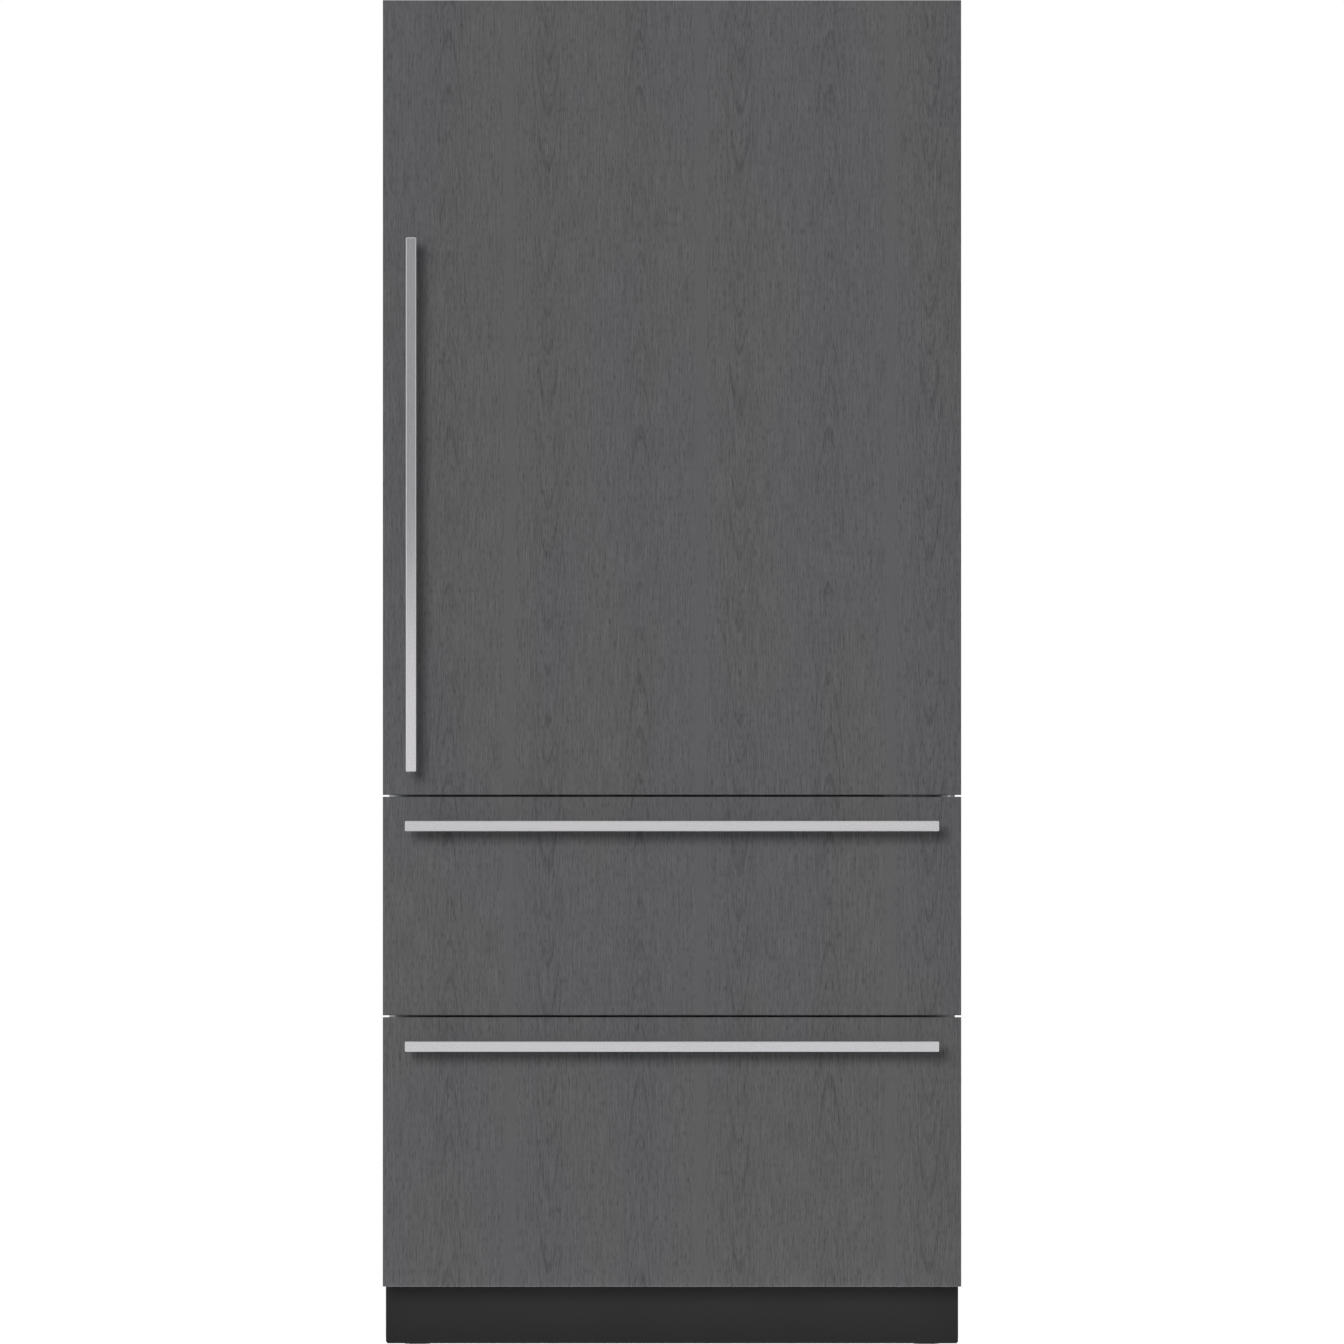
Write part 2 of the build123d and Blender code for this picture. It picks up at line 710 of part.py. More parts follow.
lid_x = (dairy_x[0] + bin_wall + dairy_play, dairy_x[1] - bin_wall - dairy_play)
lid_front = core_back_y + dairy_depth + 2 * dairy_lid_sheet
with BuildPart() as dairy_lid:
    with BuildSketch(Plane.YZ.offset(lid_x[0])) as section:
        with BuildLine() as bent:
            rib = Polyline(
                (dairy_axis_y, dairy_axis_z),
                (lid_front - bin_corner, dairy_axis_z),
                (lid_front, dairy_axis_z - bin_corner),
                (lid_front, dairy_axis_z - dairy_flap),
            )
            offset(rib, amount=dairy_lid_sheet / 2, side=Side.BOTH)
        make_face()
    extrude(amount=lid_x[1] - lid_x[0])
    drum((dairy_axis_y, dairy_axis_z), dairy_pin_radius, x=(lid_x[0] - bin_wall, lid_x[1] + bin_wall))


# Freezer drawers
slide_y = (foam_front_y + slide_setback, foam_front_y + slide_setback + slide_length)
inner_member_x = opening_half - 2 * slide_step - slide_depth


def slide_channel(side, level, z, y):
    """One of three nested channels: 0 on the wall, 1 running in it, and 2 in that, under the drawer."""
    grow = level * (slide_sheet + slide_clearance)
    web = opening_half - level * slide_step
    tip = web - slide_depth
    height = slide_height - 2 * grow
    hollow = slide_sheet if level == 2 else -slide_sheet
    with BuildPart() as member:
        with BuildSketch(upright(y[0])) as section:
            with Locations((side * middle(web, tip), z)):
                Rectangle(web - tip, height)
            with Locations((side * (middle(web, tip) + hollow), z)):
                Rectangle(web - tip, height - 2 * slide_sheet, mode=Mode.SUBTRACT)
        extrude(amount=y[0] - y[1])
    return member.part


def slide_z(opening):
    """Height of a drawer's slides, near the top of its opening."""
    return opening[1] - slide_drop - slide_height / 2


slide_levels = (slide_z(upper_opening), slide_z(lower_opening))
slide_outer_solids = [slide_channel(side, 0, z, slide_y) for z in slide_levels for side in (-1, 1)]
with BuildPart() as slide_outer_members:
    for solid in slide_outer_solids:
        add(solid)


def middle_members(opening):
    """The pair of members between a drawer's fixed and moving ones."""
    pair = [slide_channel(side, 1, slide_z(opening), slide_y) for side in (-1, 1)]
    with BuildPart() as members:
        for solid in pair:
            add(solid)
    return members.part


def inner_members(opening):
    """The pair of members that carry a drawer, with the tabs that hold its front."""
    z = slide_z(opening)
    pair = [slide_channel(side, 2, z, slide_y) for side in (-1, 1)]
    height = slide_height - 4 * (slide_sheet + slide_clearance)
    with BuildPart() as members:
        for side, solid in zip((-1, 1), pair):
            add(solid)
            face = sorted((side * inner_member_x, side * (inner_member_x + slide_sheet)))
            brick(face, (core_back_y, slide_y[0]), (z - height / 2, z + height / 2))
            tab = sorted((side * inner_member_x, side * (inner_member_x - slide_tab)))
            brick(tab, (core_back_y, core_back_y + slide_sheet), (z - height / 2, z + height / 2))
            ledge = sorted((side * inner_member_x, side * (inner_member_x - slide_ledge)))
            brick(ledge, (core_back_y, slide_y[1]), (z + height / 2 - slide_sheet, z + height / 2))
    return members.part


def drawer_core(core, opening):
    """Insulated leaf of a drawer with the shallow plug that fills its opening."""
    with BuildPart() as leaf:
        brick((-core_half_width, core_half_width), (panel_back_y, core_back_y), core)
        chamfer(leaf.faces().sort_by(Axis.Y)[-1].edges(), leaf_edge)
        with BuildSketch(upright(core_back_y)) as plug:
            with Locations((0, middle(*opening))):
                RectangleRounded(2 * (inner_member_x - slide_tab - drawer_plug_margin / 2),
                                 opening[1] - opening[0] - 2 * drawer_plug_margin, liner_corner)
        extrude(amount=-drawer_plug, taper=plug_taper)
    return leaf.part


def flanged_wall(inner_x, outer_x, flange_x, z, y, wall):
    """A side wall of a drawer, its top edge turned outwards."""
    with BuildPart() as panel:
        with BuildSketch(upright(y[0])) as section:
            with BuildLine() as outline:
                Polyline(
                    (inner_x, z[0]),
                    (outer_x, z[0]),
                    (outer_x, z[1]),
                    (flange_x, z[1]),
                    (flange_x, z[1] + wall),
                    (inner_x, z[1] + wall),
                    close=True,
                )
            make_face()
        extrude(amount=y[0] - y[1])
    return panel.part


def flat_panel(x, y, z):
    """A plain sheet that fills three ranges."""
    with BuildPart() as panel:
        brick(x, y, z)
    return panel.part


def drawer_panels(x, flange_x, y, z, wall):
    """The five panels of an open drawer that hangs by the flanges of its side walls."""
    inner = (x[0] + wall, x[1] - wall)
    top = z[1] + wall
    return [
        flanged_wall(inner[0], x[0], flange_x[0], z, y, wall),
        flanged_wall(inner[1], x[1], flange_x[1], z, y, wall),
        flat_panel(inner, (y[0], y[0] + wall), (z[0], top)),
        flat_panel(inner, (y[1] - wall, y[1]), (z[0], top)),
        flat_panel(inner, (y[0] + wall, y[1] - wall), (z[0], z[0] + wall)),
    ]


def drawer_tub(opening):
    """Open box of bonded panels whose flanges rest on the inner members."""
    height = slide_height - 4 * (slide_sheet + slide_clearance)
    rim_z = slide_z(opening) + height / 2
    outer_half = inner_member_x - slide_ledge - tub_side_gap
    y = (foam_front_y + tub_setback, foam_front_y + tub_setback + tub_length)
    panels = drawer_panels((-outer_half, outer_half), (-inner_member_x, inner_member_x), y,
                           (opening[0] + tub_floor_gap, rim_z), tub_wall)
    return Compound([panel.solid() for panel in panels])


upper_drawer_panel = front_panel(upper_panel_bottom, upper_panel_top)
lower_drawer_panel = front_panel(lower_panel_bottom, lower_panel_top)
upper_drawer_handle = pull_handle(0, upper_panel_top - drawer_handle_drop, False)
lower_drawer_handle = pull_handle(0, lower_panel_top - drawer_handle_drop, False)
upper_drawer_front = drawer_core(upper_core, upper_opening)
lower_drawer_front = drawer_core(lower_core, lower_opening)
upper_gasket_z = (upper_opening[0] - gasket_width - gasket_lip, upper_opening[1] + gasket_width + gasket_lip)
lower_gasket_z = (lower_opening[0] - gasket_width - 2 * gasket_lip,
                  lower_opening[1] + gasket_width + gasket_lip)
upper_drawer_gasket = gasket_ring(*upper_gasket_z)
lower_drawer_gasket = gasket_ring(*lower_gasket_z)
upper_drawer_basket = drawer_tub(upper_opening)
lower_drawer_basket = drawer_tub(lower_opening)
upper_slide_middle = middle_members(upper_opening)
lower_slide_middle = middle_members(lower_opening)
upper_slide_inner = inner_members(upper_opening)
lower_slide_inner = inner_members(lower_opening)


# Fans: a motor with a shaft, and a hub with twisted blades
def fan_motor(x, z, face_y):
    """A motor whose front face is at face_y, with its shaft towards the front."""
    with BuildPart() as motor:
        drum((x, z), motor_radius, y=(face_y, face_y + motor_length))
        drum((x, z), motor_shaft_radius, y=(face_y - motor_shaft_length, face_y))
    return motor.part


def fan_sections(radius, twist):
    """Distance from the shaft, chord and pitch of a blade at its root and its tip."""
    root = (fan_hub_radius - fan_blade_overlap, fan_root_chord, fan_tip_pitch + twist)
    tip = (radius + fan_blade_overlap, radius * fan_tip_chord_share, fan_tip_pitch)
    return (root, tip)


def fan_wheel(x, z, face_y, radius, twist):
    """An axial fan on the shaft in front of a motor whose front face is at face_y."""
    hub_back = face_y - fan_hub_gap
    hub_front = hub_back - fan_hub_length
    mid = middle(hub_front, hub_back)
    with BuildPart() as wheel:
        drum((x, z), fan_hub_radius, y=(hub_front, hub_back))
        for i in range(fan_blades):
            turn = math.radians(360 / fan_blades * i)
            outward = Vector(math.cos(turn), 0, math.sin(turn))
            around = Vector(-math.sin(turn), 0, math.cos(turn))
            for reach, chord, pitch in fan_sections(radius, twist):
                tilt = math.radians(pitch)
                chord_way = around * math.cos(tilt) + Vector(0, 1, 0) * math.sin(tilt)
                centre = Vector(x, mid, z) + outward * reach
                with BuildSketch(Plane(origin=centre, x_dir=chord_way, z_dir=outward)):
                    Rectangle(chord, fan_blade_thickness)
            loft(ruled=True)
        drum((x, z), radius, y=(hub_front - radius, hub_back + radius), mode=Mode.INTERSECT)
        drum((x, z), motor_shaft_radius + running_clearance, y=(hub_front, hub_back), mode=Mode.SUBTRACT)
    return wheel.part


fridge_fan_z = fridge_ceiling - air_cover_top_gap - 2 * evaporator_fan_radius
freezer_fan_z = freezer_ceiling - air_cover_top_gap - 2 * evaporator_fan_radius
evaporator_motor_y = inner_back_y - motor_length
coil_y = (foam_front_y + coil_setback, foam_front_y + coil_setback + coil_depth)
coil_z = (tray_top, tray_top + coil_height)
shroud_y = coil_y[1]
condenser_fan_z = middle(*coil_z)
condenser_motor_y = shroud_y + shroud_sheet + shroud_duct + fan_hub_gap
motor_solids = [
    fan_motor(0, fridge_fan_z, evaporator_motor_y),
    fan_motor(0, freezer_fan_z, evaporator_motor_y),
    fan_motor(coil_x, condenser_fan_z, condenser_motor_y),
]
with BuildPart() as fan_motors:
    for solid in motor_solids:
        add(solid)
refrigerator_fan = fan_wheel(0, fridge_fan_z, evaporator_motor_y, evaporator_fan_radius, 0)
freezer_fan = fan_wheel(0, freezer_fan_z, evaporator_motor_y, evaporator_fan_radius, 0)
condenser_fan = fan_wheel(coil_x, condenser_fan_z, condenser_motor_y, condenser_fan_radius, fan_twist)


def fin_pack(x, y, z, fins):
    """A heat exchanger block: thin upright fins on a middle web."""
    pitch = (x[1] - x[0] - fin_thickness) / (fins - 1)
    with BuildPart() as block:
        with BuildSketch(Plane.XY.offset(z[0])) as comb:
            with Locations((middle(*x), middle(*y))):
                Rectangle(x[1] - x[0], fin_thickness)
                with GridLocations(pitch, 0, fins, 1):
                    Rectangle(fin_thickness, y[1] - y[0])
        extrude(amount=z[1] - z[0])
    return block.part


evaporator_y = (inner_back_y - evaporator_depth, inner_back_y)
evaporator_x = (-evaporator_width / 2, evaporator_width / 2)
evaporator_solids = []
for fan_z in (fridge_fan_z, freezer_fan_z):
    top = fan_z - evaporator_fan_radius - 2 * fan_tip_clearance
    evaporator_solids.append(
        fin_pack(evaporator_x, evaporator_y, (top - evaporator_height, top), evaporator_fins))
with BuildPart() as evaporators:
    for solid in evaporator_solids:
        add(solid)


def air_cover(low, high, fan_z):
    """Moulded cover over a fan and evaporator, with a guarded fan opening and air slots."""
    z = (low + air_cover_floor_gap, high - air_cover_top_gap)
    x = (-air_cover_half_width, air_cover_half_width)
    wall = air_cover_wall
    opening_radius = evaporator_fan_radius + fan_tip_clearance
    slot_rows = int((fan_z - opening_radius - z[0]) / air_slot_pitch)
    with BuildPart() as cover:
        with BuildSketch(upright(inner_back_y)) as footprint:
            with Locations((0, middle(*z))):
                Rectangle(x[1] - x[0], z[1] - z[0])
        extrude(amount=air_cover_depth)
        chamfer(cover.faces().sort_by(Axis.Y)[0].edges(), air_cover_edge)
        brick((x[0] + wall, x[1] - wall), (air_cover_y + wall, inner_back_y), (z[0] + wall, z[1] - wall),
              mode=Mode.SUBTRACT)
        with BuildSketch(upright(air_cover_y)) as holes:
            with Locations((0, fan_z)):
                Circle(opening_radius)
                Circle(guard_disc_radius, mode=Mode.SUBTRACT)
                with PolarLocations(0, 2, angular_range=180):
                    Rectangle(2 * opening_radius, guard_bar, mode=Mode.SUBTRACT)
            with Locations((0, middle(z[0], fan_z - opening_radius))):
                slot_columns = 2 * (air_cover_half_width - air_slot_side_inset)
                with GridLocations(slot_columns, air_slot_pitch, 2, slot_rows):
                    Rectangle(*air_slot)
        extrude(amount=-2 * wall, mode=Mode.SUBTRACT)
    return cover.part


refrigerator_air_cover = air_cover(fridge_floor, fridge_ceiling, fridge_fan_z)
freezer_air_cover = air_cover(freezer_floor, freezer_ceiling, freezer_fan_z)

# Shelves: slotted standards on the back wall, cantilever frames and glass panes
shelf_space = fridge_ceiling - fridge_floor - crisper_cover_rise
shelf_levels = [fridge_floor + crisper_cover_rise + shelf_space * (i + 1) / (shelf_count + 1)
                for i in range(shelf_count)]
track_z = (fridge_floor + crisper_cover_rise + track_slot_pitch / 2, fridge_ceiling - track_slot_pitch / 2)
with BuildPart() as shelf_tracks:
    for side in (-1, 1):
        brick((side * track_x - track_width / 2, side * track_x + track_width / 2),
              (inner_back_y - track_depth, inner_back_y), track_z)
    with BuildSketch(upright(inner_back_y - track_depth)) as slots:
        rows = int((track_z[1] - track_z[0]) / track_slot_pitch)
        with Locations((0, middle(*track_z))):
            with GridLocations(2 * track_x, track_slot_pitch, 2, rows):
                Rectangle(*track_slot)
    extrude(amount=-track_depth / 2, mode=Mode.SUBTRACT)


def shelf_trim_strip(z, y, glass_y):
    """A strip along the front or the back of a shelf, with a groove that holds the glass."""
    with BuildPart() as strip:
        brick((-shelf_half_width, shelf_half_width), y,
              (z - shelf_trim_height / 2, z + shelf_trim_height / 2))
        brick((-shelf_half_width, shelf_half_width), glass_y, (z, z + shelf_pane), mode=Mode.SUBTRACT)
    return strip.part


def shelf_bracket(side, z):
    """A tapered arm that hangs on a standard and carries both strips of a shelf."""
    front = shelf_front_y + shelf_trim
    back = inner_back_y - track_depth
    with BuildPart() as bracket:
        with BuildSketch(Plane.YZ.offset(side * track_x - shelf_arm / 2)) as arm:
            with BuildLine() as outline:
                Polyline(
                    (front, z - shelf_arm_tip),
                    (front, z),
                    (back, z),
                    (back, z - shelf_arm_root),
                    close=True,
                )
            make_face()
        extrude(amount=shelf_arm)
        brick((side * track_x - shelf_arm, side * track_x + shelf_arm),
              (shelf_back_y - shelf_trim, shelf_back_y), (z - shelf_trim_height / 2, z), mode=Mode.SUBTRACT)
    return bracket.part


def shelf_frame(z):
    """The two brackets of a shelf and the strips on its glass."""
    front = (shelf_front_y, shelf_front_y + shelf_trim)
    back = (shelf_back_y - shelf_trim, shelf_back_y)
    return [
        shelf_trim_strip(z, front, (front[0] + shelf_nose, front[1])),
        shelf_trim_strip(z, back, (back[0], back[1] - shelf_nose)),
        shelf_bracket(-1, z),
        shelf_bracket(1, z),
    ]


shelf_frames = Compound([piece.solid() for z in shelf_levels for piece in shelf_frame(z)])

# Crisper housing: side plates, a middle divider with runners, and a framed top
cover_z = (fridge_floor + crisper_cover_rise - crisper_cover_thickness, fridge_floor + crisper_cover_rise)
crisper_y = (crisper_front_y, shelf_back_y)
housing_half = opening_half - side_clearance
runner_z = fridge_floor + crisper_height - crisper_runner
cover_window = (
    (-housing_half + 4 * crisper_side_plate, housing_half - 4 * crisper_side_plate),
    (crisper_y[0] + 4 * crisper_side_plate, crisper_y[1] - 4 * crisper_side_plate),
)
with BuildPart() as crisper_cover:
    brick((-housing_half, housing_half), crisper_y, cover_z)
    brick(cover_window[0], cover_window[1], (cover_z[0], cover_z[1]), mode=Mode.SUBTRACT)
    brick((cover_window[0][0] - shelf_pane, cover_window[0][1] + shelf_pane),
          (cover_window[1][0] - shelf_pane, cover_window[1][1] + shelf_pane),
          (cover_z[1] - shelf_pane, cover_z[1]), mode=Mode.SUBTRACT)
    for x in ((-housing_half, crisper_side_plate - housing_half),
              (-crisper_side_plate / 2, crisper_side_plate / 2),
              (housing_half - crisper_side_plate, housing_half)):
        foot = fridge_floor if x[0] < 0 < x[1] else fridge_floor + liner_corner
        brick(x, crisper_y, (foot, cover_z[0]))
    for x in ((-housing_half, crisper_rim + crisper_side_plate - housing_half),
              (-crisper_rim - crisper_side_plate / 2, crisper_rim + crisper_side_plate / 2),
              (housing_half - crisper_side_plate - crisper_rim, housing_half)):
        brick(x, crisper_y, (runner_z - crisper_runner, runner_z))

with BuildPart() as shelf_panes:
    for z in shelf_levels:
        brick((-shelf_half_width, shelf_half_width),
              (shelf_front_y + shelf_nose, shelf_back_y - shelf_nose), (z, z + shelf_pane))
    brick((cover_window[0][0] - shelf_pane, cover_window[0][1] + shelf_pane),
          (cover_window[1][0] - shelf_pane, cover_window[1][1] + shelf_pane),
          (cover_z[1] - shelf_pane, cover_z[1]))


def crisper(side):
    """A produce drawer of bonded clear panels that hangs on two runners, with a grip on its front."""
    inner = crisper_side_plate / 2 + side_clearance
    outer = housing_half - crisper_side_plate - side_clearance
    rim_x = sorted((side * inner, side * outer))
    body_x = (rim_x[0] + crisper_rim, rim_x[1] - crisper_rim)
    y = (crisper_y[0], crisper_y[1] - shelf_clearance)
    rim_low = runner_z + side_clearance
    rim_top = rim_low + crisper_wall
    panels = drawer_panels(body_x, rim_x, y, (fridge_floor + crisper_rim, rim_low), crisper_wall)
    with BuildPart() as grip:
        with BuildSketch(Plane.YZ.offset(body_x[0])) as section:
            with BuildLine() as outline:
                Polyline(
                    (y[0], rim_low),
                    (y[0], rim_top),
                    (y[0] - crisper_lip, rim_top),
                    (y[0] - crisper_lip, rim_low - crisper_grip),
                    (y[0] - crisper_lip + crisper_wall, rim_low - crisper_grip),
                    (y[0] - crisper_lip + crisper_wall, rim_low),
                    close=True,
                )
            make_face()
        extrude(amount=body_x[1] - body_x[0])
    return Compound([panel.solid() for panel in panels] + [grip.part.solid()])


left_crisper = crisper(-1)
right_crisper = crisper(1)

with BuildPart() as light_bars:
    for side in (-1, 1):
        ends = (side * opening_half, side * (opening_half - light_bar_depth))
        brick((min(ends), max(ends)),
              (foam_front_y + light_bar_setback, foam_front_y + light_bar_setback + light_bar_width),
              (cover_z[1] + track_slot_pitch, fridge_ceiling - track_slot_pitch))
        inner_face = light_bars.faces().sort_by(Axis.X)[0 if side > 0 else -1]
        chamfer(inner_face.edges().filter_by(Axis.Z), light_bar_edge)

with BuildPart() as control_panel:
    with BuildSketch(Plane.YZ.offset(-control_panel_size[0] / 2)) as wedge:
        with BuildLine() as profile:
            y0 = foam_front_y + control_panel_setback
            Polyline(
                (y0, fridge_ceiling),
                (y0, fridge_ceiling - control_panel_size[2] / 3),
                (y0 + control_panel_size[1] / 3, fridge_ceiling - control_panel_size[2]),
                (y0 + control_panel_size[1], fridge_ceiling - control_panel_size[2] / 3),
                (y0 + control_panel_size[1], fridge_ceiling),
                close=True,
            )
        make_face()
    extrude(amount=control_panel_size[0])

# Machine compartment
with BuildPart() as machine_tray:
    brick((sheet - cabinet_half, cabinet_half - sheet), (foam_front_y, back_y - sheet), (deck_z, tray_top))
    for side in (-1, 1):
        ends = (side * (cabinet_half - sheet), side * (cabinet_half - sheet - tray_sheet))
        brick((min(ends), max(ends)), (foam_front_y, back_y - sheet), (deck_z, deck_z + tray_lip))

with BuildPart() as top_grille:
    brick((-grille_half_width, grille_half_width), (frame_face_y - grille_depth, frame_face_y), grille_z)
    chamfer(top_grille.faces().sort_by(Axis.Y)[0].edges(), grille_edge)
    inner_z = (grille_z[0] + grille_border, grille_z[1] - grille_border)
    brick((grille_border - grille_half_width, grille_half_width - grille_border),
          (frame_face_y - grille_depth, frame_face_y), inner_z, mode=Mode.SUBTRACT)
    vane_pitch = (inner_z[1] - inner_z[0]) / grille_vanes
    vane_front = frame_face_y - grille_depth + grille_vane_inset
    vane_back = frame_face_y - grille_vane_inset
    for i in range(grille_vanes):
        z = inner_z[0] + vane_pitch * (i + 0.25)
        with BuildSketch(Plane.YZ.offset(grille_border - grille_half_width)) as vane:
            with BuildLine() as blade:
                Polyline(
                    (vane_front, z),
                    (vane_back, z + vane_pitch / 2),
                    (vane_back, z + vane_pitch / 2 + grille_vane_thickness),
                    (vane_front, z + grille_vane_thickness),
                    close=True,
                )
            make_face()
        extrude(amount=2 * (grille_half_width - grille_border))
    brick((-grille_vane_thickness, grille_vane_thickness),
          (vane_front, frame_face_y), inner_z)

mount_spots = (compressor_foot[0] - 2 * mount_inset, compressor_foot[1] - 2 * mount_inset)
foot_z = tray_top + mount_height
with BuildPart() as compressor:
    with BuildSketch(Plane.XY.offset(foot_z)) as plate:
        with Locations((compressor_x, compressor_y)):
            Rectangle(compressor_foot[0], compressor_foot[1])
            with GridLocations(mount_spots[0], mount_spots[1], 2, 2):
                RegularPolygon(mount_neck_radius + thread_clearance, mount_sides, mode=Mode.SUBTRACT)
    extrude(amount=compressor_foot_sheet)
    seat_z = foot_z + compressor_foot_sheet
    with BuildSketch(Plane.XZ.offset(-compressor_y)) as half:
        with BuildLine() as shell:
            Polyline(
                (compressor_x, seat_z),
                (compressor_x + compressor_radius, seat_z),
                (compressor_x + compressor_radius, seat_z + compressor_height - compressor_dome),
                (compressor_x + compressor_radius - compressor_shoulder,
                 seat_z + compressor_height - compressor_shoulder),
                (compressor_x + compressor_radius - compressor_dome, seat_z + compressor_height),
                (compressor_x, seat_z + compressor_height),
                close=True,
            )
        make_face()
    revolve(axis=Axis((compressor_x, compressor_y, 0), (0, 0, 1)))
    for rise in stub_rises:
        drum((compressor_y, seat_z + rise), stub_radius,
             x=(compressor_x - compressor_radius - stub_length, compressor_x - compressor_radius / 2))

with BuildPart() as compressor_mounts:
    for x in (-mount_spots[0] / 2, mount_spots[0] / 2):
        for y in (-mount_spots[1] / 2, mount_spots[1] / 2):
            for radius, low, high in ((mount_radius, tray_top, foot_z),
                                      (mount_neck_radius, foot_z, foot_z + compressor_foot_sheet)):
                with BuildSketch(Plane.XY.offset(low)) as ring:
                    with Locations((compressor_x + x, compressor_y + y)):
                        RegularPolygon(radius, mount_sides)
                extrude(ring.sketch, amount=high - low)

coil_x_range = (coil_x - coil_width / 2, coil_x + coil_width / 2)
fins_x = (coil_x_range[0] + coil_end_plate, coil_x_range[1] - coil_end_plate)
fins = fin_pack(fins_x, coil_y, coil_z, coil_fins)
with BuildPart() as condenser_coil:
    add(fins)
    for x in ((coil_x_range[0], fins_x[0]), (fins_x[1], coil_x_range[1])):
        brick(x, coil_y, coil_z)
    bend_pitch = coil_height / (coil_bends + 0.5)
    for i in range(coil_bends):
        for end, start in ((coil_x_range[0], 0.5), (coil_x_range[1], 1.0)):
            z = coil_z[0] + bend_pitch * (i + start)
            if z + 2 * coil_bend_radius > coil_z[1]:
                continue
            turn = -1 if end < coil_x else 1
            reach = turn * coil_bend_radius
            with BuildLine(Plane.XZ.offset(-middle(*coil_y))) as path:
                Polyline(
                    (end, z),
                    (end + reach / 2, z),
                    (end + reach, z + coil_bend_radius / 2),
                    (end + reach, z + coil_bend_radius * 1.5),
                    (end + reach / 2, z + 2 * coil_bend_radius),
                    (end, z + 2 * coil_bend_radius),
                )
            with BuildSketch(Plane(origin=path.line @ 0, z_dir=path.line % 0)) as tube:
                RegularPolygon(coil_tube_radius, 6)
            sweep(transition=Transition.RIGHT)

with BuildPart() as condenser_fan_shroud:
    brick(coil_x_range, (shroud_y, shroud_y + shroud_sheet), coil_z)
    drum((coil_x, condenser_fan_z), condenser_fan_radius + fan_tip_clearance + shroud_sheet,
         y=(shroud_y, shroud_y + shroud_sheet + shroud_duct))
    drum((coil_x, condenser_fan_z), condenser_fan_radius + fan_tip_clearance,
         y=(shroud_y, shroud_y + shroud_sheet + shroud_duct), mode=Mode.SUBTRACT)
    strut_y = (condenser_motor_y + motor_length / 2, condenser_motor_y + motor_length / 2 + shroud_strut)
    duct_back = shroud_y + shroud_sheet + shroud_duct
    reach = condenser_fan_radius + fan_tip_clearance + shroud_sheet
    for side in (-1, 1):
        ends = (coil_x + side * motor_radius, coil_x + side * reach)
        brick((min(ends), max(ends)), strut_y,
              (condenser_fan_z - shroud_strut / 2, condenser_fan_z + shroud_strut / 2))
        post = (coil_x + side * (reach - shroud_sheet), coil_x + side * reach)
        brick((min(post), max(post)), (duct_back - shroud_post_lap, strut_y[1]),
              (condenser_fan_z - shroud_strut / 2, condenser_fan_z + shroud_strut / 2))
    drum((coil_x, condenser_fan_z), motor_radius + shroud_ring, y=strut_y)
    drum((coil_x, condenser_fan_z), motor_radius, y=strut_y, mode=Mode.SUBTRACT)

box_x = (control_box_x - control_box_size[0] / 2, control_box_x + control_box_size[0] / 2)
box_y = (back_y - sheet - control_box_size[1], back_y - sheet)
with BuildPart() as control_box:
    brick(box_x, box_y, (tray_top, tray_top + control_box_size[2]))
    chamfer(control_box.faces().sort_by(Axis.Z)[-1].edges(), control_box_edge)
    brick((control_box_x - inlet_size[0] / 2, control_box_x + inlet_size[0] / 2), (box_y[1], back_y),
          (inlet_z - inlet_size[1] / 2, inlet_z + inlet_size[1] / 2))
    brick((control_box_x - inlet_size[0] / 2 + inlet_wall, control_box_x + inlet_size[0] / 2 - inlet_wall),
          (back_y - inlet_depth, back_y),
          (inlet_z - inlet_size[1] / 2 + inlet_wall, inlet_z + inlet_size[1] / 2 - inlet_wall),
          mode=Mode.SUBTRACT)

